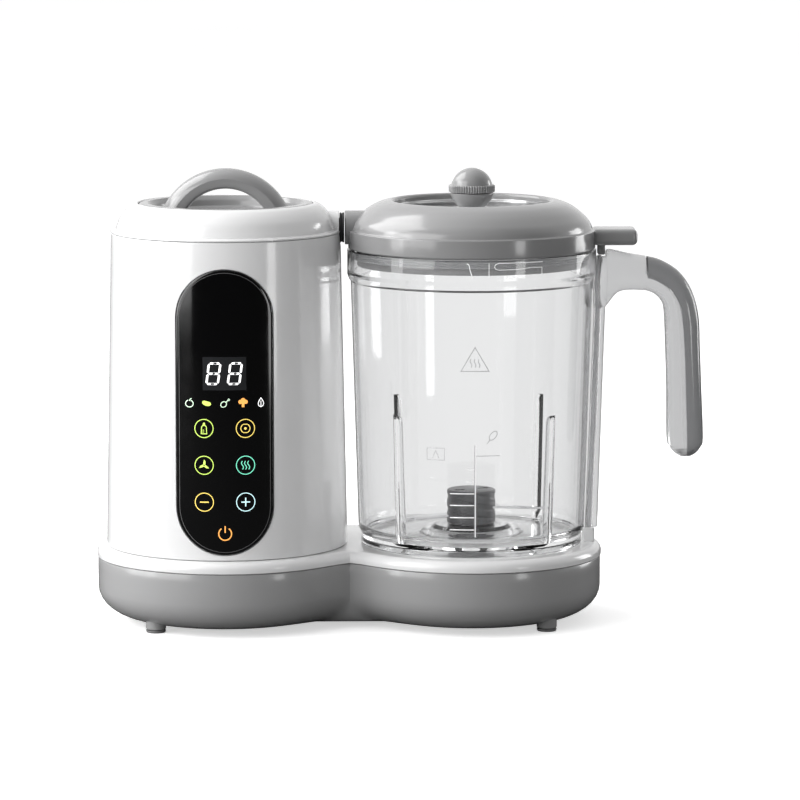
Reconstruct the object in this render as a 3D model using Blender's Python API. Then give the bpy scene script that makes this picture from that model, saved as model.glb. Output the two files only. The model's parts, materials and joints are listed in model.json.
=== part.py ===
"""Baby food maker: steam tower with bottle cup, clear blending jug, shared base.

Origin at the bottom centre of the whole object, +Z up, +X towards the jug's
handle, -Y towards the user.  All dimensions below are in millimetres and are
turned into metres when a mesh is made.
"""
import math

import bmesh
import bpy
from mathutils import Matrix, Vector

MM = 0.001

# ------------------------------------------------------------------ driving dimensions
XT = -97.0            # tower axis
XJ = 40.0             # jug axis
XM = (XT + XJ) / 2    # middle of the base's waist

GAP = 0.3             # least gap between neighbouring pieces

PAN_R = 72.5          # lobe radius of the grey pan
PAN_BOTTOM_R = 48.0   # lobe radius where the pan turns under
PAN_BOTTOM_Z = 3.0
PAN_TOP_Z = 37.0
PAN_TURN_Z = 20.0     # the pan's wall is upright above this height
PAN_WALL = 2.5

DECK_R = 73.0
DECK_TOP_Z = 43.7
DECK_SHOULDER = 4.5

WAIST_FRONT = 36.0    # half depth of the web between the lobes, towards the user
WAIST_FRONT_LOW = 28.0
WAIST_BACK = 61.0
WAIST_BACK_LOW = 38.0
WAIST_BLEND = 18.0    # softness of the blend from lobe to web, in front
WAIST_BLEND_BACK = 11.0

TOWER_R0, TOWER_Z0 = 67.5, 44.0
TOWER_R1, TOWER_Z1 = 63.8, 218.4
TOWER_WALL = 2.6

DUCT_Z = 220.7        # axis of the steam duct, along X at Y = 0
DUCT_R = 9.5

PANEL_HALF_W = 26.5
PANEL_Z0, PANEL_Z1 = 47.1, 203.7

JUG_WALL_R0, JUG_WALL_Z0 = 63.3, 52.5
JUG_WALL_R1, JUG_WALL_Z1 = 67.5, 190.5
JUG_RIM_R = 69.4
JUG_RIM_Z = 209.0
JUG_WALL = 3.1

ROD_X0, ROD_Z0 = 105.9, 52.0      # lower end of the interlock rod in the jug's rib
ROD_X1, ROD_Z1 = 111.3, 204.9     # upper end

ARCH_HALF_DEPTH = 8.5
HANDLE_HALF_DEPTH = 10.5

FOOT_X = (-136.0, 80.5)
FOOT_Y = 42.0
GLAND_Z = 26.8
SCREW_POS = ((-128.0, 28.0), (-128.0, -28.0), (72.0, 28.0), (72.0, -28.0))

BIG, MED, SMALL = 32, 16, 12      # sides of turned pieces

MOTOR_PULLEY_R = 9.0
DRIVEN_PULLEY_R = 27.0
BELT_T = 2.4

# ------------------------------------------------------------------ helpers


def clear_scene():
    for ob in list(bpy.data.objects):
        bpy.data.objects.remove(ob, do_unlink=True)


def material(name, rgb, rough, metal=0.0, alpha=1.0, transmission=0.0):
    mat = bpy.data.materials.new(name)
    mat.use_nodes = True
    shader = mat.node_tree.nodes["Principled BSDF"]
    shader.inputs["Base Color"].default_value = (rgb[0], rgb[1], rgb[2], 1.0)
    shader.inputs["Roughness"].default_value = rough
    shader.inputs["Metallic"].default_value = metal
    shader.inputs["Alpha"].default_value = alpha
    shader.inputs["Transmission Weight"].default_value = transmission
    mat.diffuse_color = (rgb[0], rgb[1], rgb[2], alpha)
    return mat


def finish(name, bm, mat, origin=(0.0, 0.0, 0.0), guide=False, angle=32.0):
    """Turn a bmesh in millimetres into an object whose origin is at `origin`."""
    bmesh.ops.recalc_face_normals(bm, faces=bm.faces)
    shift = Matrix.Translation(-Vector(origin))
    bmesh.ops.transform(bm, matrix=Matrix.Diagonal((MM, MM, MM, 1.0)) @ shift, verts=bm.verts)
    mesh = bpy.data.meshes.new(name)
    bm.to_mesh(mesh)
    bm.free()
    mesh.shade_smooth()
    mesh.set_sharp_from_angle(angle=math.radians(angle))
    ob = bpy.data.objects.new(name, mesh)
    ob.location = Vector(origin) * MM
    bpy.context.scene.collection.objects.link(ob)
    if mat is not None:
        mesh.materials.append(mat)
    if guide:
        ob.hide_render = True
        ob.display_type = "WIRE"
    return ob


def skin(bm, rings, loop=False, caps=(True, True)):
    """Join equal rings of points with faces; a ring may be one point, a pole."""
    made = []
    for ring in rings:
        made.append([bm.verts.new(p) for p in ring])
    pairs = list(zip(made[:-1], made[1:]))
    if loop:
        pairs.append((made[-1], made[0]))
    for low, high in pairs:
        n = max(len(low), len(high))
        for i in range(n):
            j = (i + 1) % n
            if len(low) == 1 and len(high) == 1:
                continue
            if len(low) == 1:
                bm.faces.new((low[0], high[j], high[i]))
            elif len(high) == 1:
                bm.faces.new((low[i], low[j], high[0]))
            else:
                bm.faces.new((low[i], low[j], high[j], high[i]))
    if not loop:
        if caps[0] and len(made[0]) > 2:
            bm.faces.new(list(reversed(made[0])))
        if caps[1] and len(made[-1]) > 2:
            bm.faces.new(made[-1])
    return made


def turned(profile, sides, cx=0.0, cy=0.0, axis="Z", phase=0.0):
    """Solid of revolution.  A profile that starts and ends on the axis makes a
    solid; any other profile is read as a closed loop and makes a ring.
    axis Z: (radius, z).  axis X or Y: (radius, distance along the axis), about
    the line through (cx, cy)."""
    bm = bmesh.new()
    rings = []
    for r, t in profile:
        if r < 1e-6:
            pts = [(0.0, 0.0, t)]
        else:
            pts = [(r * math.cos(phase + 2 * math.pi * i / sides),
                    r * math.sin(phase + 2 * math.pi * i / sides), t) for i in range(sides)]
        if axis == "Z":
            ring = [(cx + a, cy + b, c) for a, b, c in pts]
        elif axis == "X":                      # cx is Y, cy is Z of the axis
            ring = [(c, cx + a, cy + b) for a, b, c in pts]
        else:                                  # cx is X, cy is Z of the axis
            ring = [(cx + a, c, cy + b) for a, b, c in pts]
        rings.append(ring)
    solid = profile[0][0] < 1e-6 and profile[-1][0] < 1e-6
    skin(bm, rings, loop=not solid)
    return bm


def block(x0, x1, y0, y1, z0, z1, bevel=0.0, segments=1):
    bm = bmesh.new()
    bmesh.ops.create_cube(bm, size=1.0)
    size = Matrix.Diagonal((x1 - x0, y1 - y0, z1 - z0, 1.0))
    place = Matrix.Translation(((x0 + x1) / 2, (y0 + y1) / 2, (z0 + z1) / 2))
    bmesh.ops.transform(bm, matrix=place @ size, verts=bm.verts)
    if bevel > 0:
        bmesh.ops.bevel(bm, geom=list(bm.edges), offset=bevel, segments=segments,
                        profile=0.5, affect="EDGES")
    return bm


def prism(outline, z0, z1):
    """Upright prism over a closed outline of (x, y) points."""
    bm = bmesh.new()
    skin(bm, [[(x, y, z0) for x, y in outline], [(x, y, z1) for x, y in outline]])
    return bm


def add(target, other):
    """Copy one bmesh's geometry into another."""
    tmp = bpy.data.meshes.new("tmp")
    other.to_mesh(tmp)
    other.free()
    target.from_mesh(tmp)
    bpy.data.meshes.remove(tmp)
    return target


def boolean(ob, tool, operation):
    mod = ob.modifiers.new(operation.lower() + "_" + tool.name, "BOOLEAN")
    mod.object = tool
    mod.operation = operation
    mod.solver = "EXACT"
    return mod


def cut(ob, tool):
    return boolean(ob, tool, "DIFFERENCE")


def join(ob, tool):
    return boolean(ob, tool, "UNION")


def guide(name, bm):
    return finish("guide_" + name, bm, None, guide=True)


def lerp(a, b, t):
    return a + (b - a) * t


# ------------------------------------------------------------------ shared curves


def soft_max(a, b, k):
    h = max(k - abs(a - b), 0.0) / k
    return max(a, b) + h * h * k / 4.0


def half_depth(x, r, web, blend=WAIST_BLEND):
    """Half depth of the two-lobed outline at x, one side of it."""
    best = None
    for centre in (XT, XJ):
        d = abs(x - centre)
        h = math.sqrt(max(r * r - d * d, 0.0)) if d < r else -(d - r)
        best = h if best is None else soft_max(best, h, 0.001)
    return soft_max(best, web, blend)


def base_outline(r, front, back, step=15.0):
    """Counter-clockwise outline of the base: two round lobes joined by a web."""
    half = int(round(180.0 / step))
    points = []
    # right lobe's round end, from front to back
    for i in range(half + 1):
        a = math.radians(-90.0 + 180.0 * i / half)
        points.append((XJ + r * math.cos(a), r * math.sin(a), 0))
    xs = []
    for deg in (15, 30):
        xs.append(XJ - 73.0 * math.sin(math.radians(deg)))
    span = xs[-1] - XM
    mid = [XM + span * f for f in (0.66, 0.42, 0.2)]
    xs = xs + mid + [XM]
    xs = xs + [2 * XM - x for x in reversed(xs[:-1])]
    back_run = []
    for x in xs:
        back_run.append((x, half_depth(x, r, back, WAIST_BLEND_BACK), 0))
    points += back_run
    for i in range(half + 1):
        a = math.radians(90.0 + 180.0 * i / half)
        points.append((XT + r * math.cos(a), r * math.sin(a), 0))
    for x in reversed(xs):
        points.append((x, -half_depth(x, r, front), 0))
    return [(x, y) for x, y, _ in points]


def pan_factor(z):
    """1 on the upright wall, 0 at the bottom edge, along a quarter ellipse."""
    if z >= PAN_TURN_Z:
        return 1.0
    q = (PAN_TURN_Z - z) / (PAN_TURN_Z - PAN_BOTTOM_Z)
    return math.sqrt(max(1.0 - q * q, 0.0))


def pan_level(z, inset=0.0, at=None):
    f = pan_factor(z if at is None else at)
    r = lerp(PAN_BOTTOM_R, PAN_R, f) - inset
    return [(x, y, z) for x, y in base_outline(
        r, lerp(WAIST_FRONT_LOW, WAIST_FRONT, f) - inset,
        lerp(WAIST_BACK_LOW, WAIST_BACK, f) - inset)]


def deck_level(z, inset):
    return [(x, y, z) for x, y in base_outline(
        DECK_R - inset, WAIST_FRONT + 0.5 - inset, WAIST_BACK + 0.5 - inset)]


def tower_r(z):
    return lerp(TOWER_R0, TOWER_R1, (z - TOWER_Z0) / (TOWER_Z1 - TOWER_Z0))


def jug_r(z):
    return lerp(JUG_WALL_R0, JUG_WALL_R1, (z - JUG_WALL_Z0) / (JUG_WALL_Z1 - JUG_WALL_Z0))


def wrapped_stadium(half_w, z0, z1, r_in, r_out, rows=5, cols=6):
    """Plate with round ends wrapped on the tower's front; r_in and r_out are
    offsets from the tower's outer surface."""
    zs = []
    for i in range(rows + 1):
        zs.append(z0 + half_w * (1 - math.cos(math.radians(90.0 * i / rows))))
    mid = 3
    for i in range(1, mid):
        zs.append(lerp(z0 + half_w, z1 - half_w, i / mid))
    for i in range(rows + 1):
        zs.append(z1 - half_w * (1 - math.cos(math.radians(90.0 * (rows - i) / rows))))

    def width(z):
        d = max(z0 + half_w - z, z - (z1 - half_w), 0.0)
        return max(math.sqrt(max(half_w * half_w - d * d, 0.0)), 2.2)

    bm = bmesh.new()
    sides = []
    for off in (r_out, r_in):
        grid = []
        for z in zs:
            w = width(z)
            row = []
            for j in range(cols + 1):
                x = w * (2.0 * j / cols - 1.0)
                r = tower_r(z) + off
                row.append(bm.verts.new((XT + x, -math.sqrt(r * r - x * x), z)))
            grid.append(row)
        sides.append(grid)
    n, m = len(zs) - 1, cols
    for k, grid in enumerate(sides):
        for i in range(n):
            for j in range(m):
                quad = (grid[i][j], grid[i][j + 1], grid[i + 1][j + 1], grid[i + 1][j])
                bm.faces.new(quad if k == 0 else tuple(reversed(quad)))
    a, b = sides
    for i in range(n):
        bm.faces.new((a[i][0], a[i + 1][0], b[i + 1][0], b[i][0]))
        bm.faces.new((a[i + 1][m], a[i][m], b[i][m], b[i + 1][m]))
    for j in range(m):
        bm.faces.new((a[0][j + 1], a[0][j], b[0][j], b[0][j + 1]))
        bm.faces.new((a[n][j], a[n][j + 1], b[n][j + 1], b[n][j]))
    return bm


def star(r_tip, r_root, lobes, per=3):
    """Outline of a coupling with rounded lobes."""
    pts = []
    n = lobes * per
    for i in range(n):
        a = 2 * math.pi * i / n
        r = lerp(r_root, r_tip, 0.5 + 0.5 * math.cos(lobes * a))
        pts.append((r * math.cos(a), r * math.sin(a)))
    return pts


def section(inner, middle, outer, half_w, n=6, power=2.6):
    """One station of the handle: an oval through `inner` and `outer`, or, with
    outer None, a D whose flat lies on `middle`.  Points are (x, z) pairs."""
    ring = []
    ix, iz = inner
    px, pz = middle
    for i in range(n + 1):
        a = math.pi * i / n
        c, s = math.cos(a), math.sin(a)
        y = half_w * math.copysign(abs(c) ** (2.0 / power), c)
        f = abs(s) ** (2.0 / power)
        ring.append((px + (ix - px) * f, y, pz + (iz - pz) * f))
    for i in range(1, n):
        a = math.pi * i / n
        c, s = math.cos(a), math.sin(a)
        y = -half_w * math.copysign(abs(c) ** (2.0 / power), c)
        f = abs(s) ** (2.0 / power)
        if outer is None:
            ring.append((px, y, pz))
        else:
            ring.append((px + (outer[0] - px) * f, y, pz + (outer[1] - pz) * f))
    return ring


# ------------------------------------------------------------------ materials

clear_scene()

M_WHITE = material("white_gloss", (0.86, 0.86, 0.86), 0.18)
M_GREY = material("warm_grey_gloss", (0.34, 0.34, 0.345), 0.25)
M_BLACK = material("panel_black", (0.01, 0.01, 0.011), 0.08)
M_CLEAR = material("clear_plastic", (0.93, 0.95, 0.95), 0.05, alpha=0.3, transmission=0.9)
M_SMOKE = material("smoke_plastic", (0.45, 0.45, 0.47), 0.12, alpha=0.7, transmission=0.5)
M_RUBBER = material("black_rubber", (0.03, 0.03, 0.03), 0.7)
M_SILICONE = material("grey_silicone", (0.55, 0.56, 0.57), 0.55)
M_STEEL = material("stainless_steel", (0.62, 0.62, 0.63), 0.28, metal=1.0)
M_DARK = material("dark_grey_plastic", (0.09, 0.09, 0.095), 0.4)
M_ALU = material("cast_aluminium", (0.55, 0.56, 0.57), 0.45, metal=1.0)
M_COPPER = material("copper_winding", (0.62, 0.28, 0.12), 0.35, metal=1.0)
M_BOARD = material("board_green", (0.03, 0.16, 0.07), 0.45)
M_LED = material("display_grey", (0.05, 0.05, 0.055), 0.3)
M_IRON = material("laminated_iron", (0.28, 0.28, 0.29), 0.5, metal=1.0)

# ------------------------------------------------------------------ base

# grey pan: two round bowls joined by a narrower web, hollow, open at the top
pan_out = [3.0, 5.0, 10.5, PAN_TURN_Z, PAN_TOP_Z]
pan_in = [PAN_TOP_Z, PAN_TURN_Z, 10.0, 5.6]
rings = [pan_level(z) for z in pan_out]
rings += [pan_level(z, PAN_WALL, at=max(z - PAN_WALL * (1 - pan_factor(z)), 3.05)) for z in pan_in]
bm = bmesh.new()
skin(bm, rings)
base_pan = finish("base_pan", bm, M_GREY)

# pan: sockets for the feet, post for the interlock spring, seat of the lower bearing
bm = bmesh.new()
for fx in FOOT_X:
    for fy in (FOOT_Y, -FOOT_Y):
        add(bm, turned([(0, 1.8), (5.6, 1.8), (5.6, 9.0), (0, 9.0)], SMALL, fx, fy))
join(base_pan, guide("foot_bosses", bm))
join(base_pan, guide("bearing_seat", turned(
    [(0, 4.2), (10.8, 4.2), (10.8, 12.8), (8.4, 12.8), (8.4, 8.3), (0, 8.3)], MED, XJ)))
join(base_pan, guide("spring_post", turned([(0, 13.0), (3.2, 13.0), (3.2, 19.6), (0, 19.6)], 12, ROD_X0)))
bm = bmesh.new()
for fx in FOOT_X:
    for fy in (FOOT_Y, -FOOT_Y):
        add(bm, turned([(0, 1.0), (4.5, 1.0), (4.5, 4.0), (0, 4.0)], 12, fx, fy, phase=0.21))
for sx, sy in SCREW_POS:
    add(bm, turned([(0, 2.0), (3.9, 2.0), (3.9, 4.4), (1.9, 4.4), (1.9, 12.0), (0, 12.0)], 12, sx, sy, phase=0.21))
cut(base_pan, guide("pan_pockets", bm))
cut(base_pan, guide("gland_hole", turned([(0, 50.0), (6.5, 50.0), (6.5, 70.0), (0, 70.0)], SMALL,
                                         XM, GLAND_Z, axis="Y", phase=0.13)))

# white deck: closes the pan, with the rounded shoulder
sh = DECK_SHOULDER
rings = [deck_level(37.3, 5.4), deck_level(34.2, 5.4), deck_level(34.2, 3.6), deck_level(37.3, 3.3),
         deck_level(37.3, 0.0), deck_level(39.6, 0.0), deck_level(42.4, 1.4),
         deck_level(DECK_TOP_Z, sh)]
bm = bmesh.new()
skin(bm, [deck_level(40.8, 5.4)] + rings[1:])
base_deck = finish("base_deck", bm, M_WHITE)
# post that carries the interlock pin under the jug's rib
join(base_deck, guide("pin_post", block(102.5, 109.2, -4.6, 4.6, 41.5, 51.6, 1.0)))
# housing of the upper spindle bearing, and the four screw posts
join(base_deck, guide("bearing_housing", turned(
    [(0, 42.0), (14.2, 42.0), (14.2, 30.0), (0, 30.0)], MED, XJ)))
bm = bmesh.new()
for sx, sy in SCREW_POS:
    add(bm, turned([(0, 42.0), (4.2, 42.0), (4.2, 6.8), (0, 6.8)], 12, sx, sy))
join(base_deck, guide("screw_posts", bm))
bm = turned([(0, 29.0), (11.3, 29.0), (11.3, 40.3), (9.6, 40.3), (9.6, 45.0), (0, 45.0)], MED, XJ)
add(bm, turned([(0, 40.0), (38.0, 40.0), (38.0, 45.0), (0, 45.0)], MED, XT))
add(bm, turned([(0, 27.0), (2.0, 27.0), (2.0, 53.0), (0, 53.0)], 12, ROD_X0))
for sx, sy in SCREW_POS:
    add(bm, turned([(0, 5.0), (1.9, 5.0), (1.9, 24.0), (0, 24.0)], 12, sx, sy))
cut(base_deck, guide("deck_holes", bm))

# rubber feet and pan screws
for i, (fx, fy) in enumerate([(x, y) for x in FOOT_X for y in (FOOT_Y, -FOOT_Y)]):
    finish("foot_%d" % (i + 1), turned(
        [(0, 0), (5.6, 0), (5.6, 1.5), (4.0, 1.5), (4.0, 3.6), (0, 3.6)], 12, fx, fy),
        M_RUBBER, origin=(fx, fy, 0))
for i, (sx, sy) in enumerate(SCREW_POS):
    finish("pan_screw_%d" % (i + 1), turned(
        [(0, 2.5), (3.3, 2.9), (3.3, 4.1), (1.4, 4.1), (1.4, 20.0), (0, 21.5)], 10, sx, sy),
        M_STEEL, origin=(sx, sy, 4.1))

# cord gland in the back of the web
finish("cord_gland", turned([(3.6, 56.6), (6.9, 56.6), (6.9, 58.1), (6.0, 58.1), (6.0, 61.4),
                             (8.4, 61.4), (8.4, 63.8), (5.2, 72.4), (3.6, 72.4)],
                            SMALL, XM, GLAND_Z, axis="Y"), M_RUBBER)

# ------------------------------------------------------------------ tower

z0, z1 = TOWER_Z0, TOWER_Z1
tower_shell = finish("tower_shell", turned(
    [(TOWER_R0, z0), (TOWER_R1, z1), (TOWER_R1 - TOWER_WALL, z1), (TOWER_R0 - TOWER_WALL, z0)],
    BIG, XT), M_WHITE)
cut(tower_shell, guide("panel_pocket", wrapped_stadium(
    PANEL_HALF_W + GAP + 0.1, PANEL_Z0 - GAP - 0.1, PANEL_Z1 + GAP + 0.1, -1.3, 4.0)))
cut(tower_shell, guide("display_window", block(XT - 14, XT + 14, -70, -50, 136, 158.6)))
cut(tower_shell, guide("duct_notch", turned([(0, -60), (DUCT_R + 0.5, -60), (DUCT_R + 0.5, -20), (0, -20)],
                                            MED, 0, DUCT_Z, axis="X", phase=0.11)))

# domed white cap with the cup's mouth and the steam outlet boss
tower_cap = finish("tower_cap", turned(
    [(60.7, 211.0), (60.7, 218.7), (64.0, 218.7), (64.0, 219.6), (61.3, 220.3), (58.8, 226.8),
     (54.6, 232.0), (49.4, 234.9), (48.8, 234.9), (48.8, 231.5), (46.7, 231.5), (46.7, 226.8),
     (49.6, 226.8), (52.4, 229.8), (57.4, 222.6), (58.2, 211.0)],
    BIG, XT), M_WHITE)
join(tower_cap, guide("outlet_boss", turned([(0, -39.6), (DUCT_R, -39.6), (DUCT_R, -34.0), (0, -34.0)],
                                            MED, 0, DUCT_Z, axis="X", phase=0.11)))
cut(tower_cap, guide("outlet_bore", turned([(0, -46.0), (5.8, -46.0), (5.8, -34.08), (9.2, -34.08), (9.2, -28.0),
                                            (0, -28.0)],
                                           SMALL, 0, DUCT_Z, axis="X", phase=0.17)))

control_panel = finish("control_panel", wrapped_stadium(
    PANEL_HALF_W, PANEL_Z0, PANEL_Z1, -0.9, 0.6), M_BLACK)

finish("display_module", block(XT - 12.4, XT + 12.4, -62.4, -56.2, 137.2, 157.0), M_LED)
bm = block(XT - 24, XT + 24, -55.8, -54.2, 54, 198)
finish("control_board", bm, M_BOARD)

# stainless cup that boils the water and takes a bottle
steam_cup = finish("steam_cup", turned(
    [(0, 146.0), (43.2, 146.0), (46.2, 149.6), (46.2, 231.8), (48.4, 231.8), (48.4, 232.6),
     (45.4, 232.6), (45.4, 150.0), (42.6, 147.0), (0, 147.0)], BIG, XT), M_STEEL)
cut(steam_cup, guide("cup_port", turned([(0, -56.0), (5.8, -56.0), (5.8, -46.0), (0, -46.0)],
                                        SMALL, 0, DUCT_Z, axis="X", phase=0.17)))
finish("steam_pipe", turned([(3.9, -52.2), (5.4, -52.2), (5.4, -41.4), (3.9, -41.4)],
                            SMALL, 0, DUCT_Z, axis="X"), M_SILICONE)
finish("nozzle_seal", turned([(4.4, -41.0), (5.4, -41.0), (5.4, -33.7), (8.0, -33.7), (8.4, -33.3),
                              (8.4, -31.1), (4.4, -31.1)],
                             MED, 0, DUCT_Z, axis="X"), M_RUBBER)

finish("heater_plate", turned([(0, 139.4), (38.0, 139.4), (40.0, 141.0), (40.0, 145.6), (0, 145.6)], MED, XT),
       M_ALU)
tube = 3.0
finish("heating_element", turned([(28 + tube * math.cos(2 * math.pi * i / 8),
                                   136.0 + tube * math.sin(2 * math.pi * i / 8)) for i in range(8)],
                                 MED, XT), M_STEEL)
finish("thermostat", turned([(0, 131.0), (6.0, 131.0), (6.0, 133.0), (8.0, 133.4), (8.0, 139.0), (0, 139.0)],
                            SMALL, XT), M_DARK)

# ------------------------------------------------------------------ motor and belt drive

bm = turned([(11.4, 56.0), (14.8, 56.0), (14.8, 60.5), (50.0, 60.5), (50.0, 63.4), (11.4, 63.4)], MED, XT)
motor_bracket_lower = finish("motor_bracket_lower", bm, M_ALU)
bm = bmesh.new()
for k in range(3):
    a = math.radians(90 + 120 * k)
    add(bm, turned([(0, 44.1), (4.0, 44.1), (4.0, 61.0), (0, 61.0)], 10,
                   XT + 45.0 * math.cos(a), 45.0 * math.sin(a)))
join(motor_bracket_lower, guide("bracket_legs", bm))
bm = turned([(8.4, 119.0), (11.6, 119.0), (11.6, 121.0), (42.0, 121.0), (42.0, 124.0), (8.4, 124.0)], MED, XT)
motor_bracket_upper = finish("motor_bracket_upper", bm, M_ALU)
bm = bmesh.new()
for sgn in (1, -1):
    add(bm, turned([(0, 63.8), (3.0, 63.8), (3.0, 122.0), (0, 122.0)], 10, XT + sgn * 38.0))
join(motor_bracket_upper, guide("bracket_columns", bm))
finish("bearing_motor_lower", turned([(4.4, 56.4), (11.0, 56.4), (11.0, 63.0), (4.4, 63.0)], MED, XT), M_STEEL)
finish("bearing_motor_upper", turned([(4.4, 119.4), (8.0, 119.4), (8.0, 123.8), (4.4, 123.8)], SMALL, XT), M_STEEL)
finish("motor_stator", turned([(20.6, 69.5), (22.5, 66.5), (29.5, 66.5), (33.0, 70.0), (33.0, 104.0),
                               (29.5, 107.5), (22.5, 107.5), (20.6, 104.5)], MED, XT), M_IRON)
finish("motor_armature", turned([(4.4, 65.4), (13.0, 65.4), (19.9, 70.0), (19.9, 104.0),
                                 (13.0, 109.0), (9.0, 110.0), (9.0, 117.4), (4.4, 117.4)],
                                MED, XT), M_COPPER, origin=(XT, 0, 65.4))
finish("motor_shaft", turned([(0, 8.6), (4.0, 8.6), (4.0, 126.2), (3.4, 126.8), (0, 126.8)],
                             SMALL, XT), M_STEEL, origin=(XT, 0, 8.6))
# cooling fan: hub and back plate with straight blades
motor_fan = finish("motor_fan", turned([(4.4, 45.0), (9.0, 45.0), (9.0, 52.4), (30.0, 53.4), (30.0, 54.6),
                                        (4.4, 54.6)], MED, XT), M_DARK, origin=(XT, 0, 45.0))
bm = bmesh.new()
for k in range(8):
    blade = block(8.0, 29.0, -0.8, 0.8, 46.0, 54.0)
    bmesh.ops.rotate(blade, cent=(0, 0, 0), matrix=Matrix.Rotation(math.radians(45 * k), 3, "Z"),
                     verts=blade.verts)
    bmesh.ops.translate(blade, vec=(XT, 0, 0), verts=blade.verts)
    add(bm, blade)
join(motor_fan, guide("fan_blades", bm))

pz0, pz1 = 14.0, 24.6


def pulley(name, r, bore, cx, sides):
    return finish(name, turned([(bore, pz0), (r + 3.4, pz0), (r, pz0 + 1.7), (r, pz1 - 1.7),
                                (r + 3.4, pz1), (bore, pz1)], sides, cx), M_DARK,
                  origin=(cx, 0, pz0))


pulley("motor_pulley", MOTOR_PULLEY_R, 4.4, XT, SMALL + 4)
pulley("driven_pulley", DRIVEN_PULLEY_R, 4.4, XJ, MED)


def belt_outline(extra):
    """Closed path round both pulleys at `extra` outside their rims."""
    r1, r2, d = MOTOR_PULLEY_R + extra, DRIVEN_PULLEY_R + extra, XJ - XT
    a = math.acos((r1 - r2) / d)          # angle of the tangent points
    pts = []
    n1, n2 = 10, 22
    for i in range(n2 + 1):
        t = lerp(-a, a, i / n2)
        pts.append((XJ + r2 * math.cos(t), r2 * math.sin(t)))
    for i in range(n1 + 1):
        t = lerp(a, 2 * math.pi - a, i / n1)
        pts.append((XT + r1 * math.cos(t), r1 * math.sin(t)))
    return pts


inner, outer = belt_outline(0.45), belt_outline(0.45 + BELT_T)
bm = bmesh.new()
bz0, bz1 = pz0 + 2.1, pz1 - 2.1
skin(bm, [[(x, y, bz0) for x, y in inner], [(x, y, bz0) for x, y in outer],
          [(x, y, bz1) for x, y in outer], [(x, y, bz1) for x, y in inner]], loop=True)
finish("drive_belt", bm, M_RUBBER)

finish("bearing_spindle_lower", turned([(4.4, 8.7), (8.0, 8.7), (8.0, 12.6), (4.4, 12.6)], SMALL, XJ), M_STEEL)
finish("bearing_spindle_upper", turned([(4.4, 32.4), (11.0, 32.4), (11.0, 39.9), (4.4, 39.9)], MED, XJ), M_STEEL)
finish("spindle_shaft", turned([(0, 8.9), (4.0, 8.9), (4.0, 45.8), (3.4, 46.4), (0, 46.4)], SMALL, XJ),
       M_STEEL, origin=(XJ, 0, 8.9))
drive_coupling = finish("drive_coupling", prism([(XJ + x, y) for x, y in star(8.8, 7.0, 6)], 41.2, 48.3),
                        M_DARK, origin=(XJ, 0, 41.2))
cut(drive_coupling, guide("coupling_bore", turned([(0, 40.0), (4.4, 40.0), (4.4, 46.8), (0, 46.8)], SMALL, XJ)))

# ------------------------------------------------------------------ boards, switch and interlock

power_board = finish("power_board", block(XT - 24, XT + 24, 53.0, 54.6, 66, 116), M_BOARD)
bm = turned([(0, 54.0), (5.0, 54.0), (5.0, 60.6), (0, 60.6)], 10, XT - 12, 100.0, axis="Y")
add(bm, block(XT + 2, XT + 16, 54.0, 60.0, 74, 90))
join(power_board, guide("board_parts", bm))

microswitch = finish("microswitch", block(90.0, 99.0, -4.0, 4.0, 20.0, 33.0, 0.6), M_DARK)
join(microswitch, guide("switch_lever", block(98.0, 102.9, -1.6, 1.6, 26.4, 27.5)))

finish("lock_pin", turned([(0, 22.0), (1.3, 22.0), (1.6, 22.6), (1.6, 28.0), (3.1, 28.0), (3.1, 30.0), (1.6, 30.0),
                           (1.6, 50.8), (1.0, 51.5), (0, 51.5)], 12, ROD_X0), M_WHITE, origin=(ROD_X0, 0, 22.0))

# compression spring under the pin's collar
turns, steps, wire, sides = 4.0, 9, 0.35, 4
bm = bmesh.new()
rings = []
total = int(turns * steps)
for i in range(total + 1):
    a = 2 * math.pi * i / steps
    zc = lerp(20.3, 27.3, i / total)
    rc = 2.35
    ring = []
    for k in range(sides):
        b = 2 * math.pi * k / sides
        rr = rc + wire * math.cos(b)
        ring.append((ROD_X0 + rr * math.cos(a), rr * math.sin(a), zc + wire * math.sin(b)))
    rings.append(ring)
skin(bm, rings)
finish("lock_spring", bm, M_STEEL, origin=(ROD_X0, 0, 20.0))

# ------------------------------------------------------------------ jug

w = JUG_WALL
jug_body = finish("jug_body", turned(
    [(58.8, 44.0), (61.9, 44.0), (61.9, 49.8), (JUG_WALL_R0, JUG_WALL_Z0),
     (JUG_WALL_R1, JUG_WALL_Z1), (68.5, 192.6), (JUG_RIM_R, 195.0),
     (JUG_RIM_R, JUG_RIM_Z), (66.2, JUG_RIM_Z), (66.2, 197.0), (JUG_WALL_R1 - w, 192.6),
     (JUG_WALL_R0 - w + 0.1, 54.5), (56.8, 49.6), (27.6, 49.4), (26.7, 52.0), (20.6, 53.8),
     (9.0, 53.8), (9.0, 51.0), (21.0, 51.0), (25.0, 46.7), (57.4, 46.8)],
    BIG, XJ), M_CLEAR)

# four ribs inside the wall that break up the swirl
bm = bmesh.new()
for sx in (1, -1):
    for sy in (1, -1):
        ang = math.atan2(sy * 48.0, sx * 44.0)
        rib = bmesh.new()
        rings = []
        for z, depth in ((49.0, 5.0), (118.0, 4.2), (121.0, 2.6)):
            r_wall = jug_r(z) - w
            pts = [(r_wall + 1.5, -2.2), (r_wall + 1.5, 2.2), (r_wall - depth, 1.6), (r_wall - depth, -1.6)]
            rings.append([(x, y, z) for x, y in pts])
        skin(rib, rings)
        bmesh.ops.rotate(rib, cent=(0, 0, 0), matrix=Matrix.Rotation(ang, 3, "Z"), verts=rib.verts)
        bmesh.ops.translate(rib, vec=(XJ, 0, 0), verts=rib.verts)
        add(bm, rib)
join(jug_body, guide("jug_ribs", bm))

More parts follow.
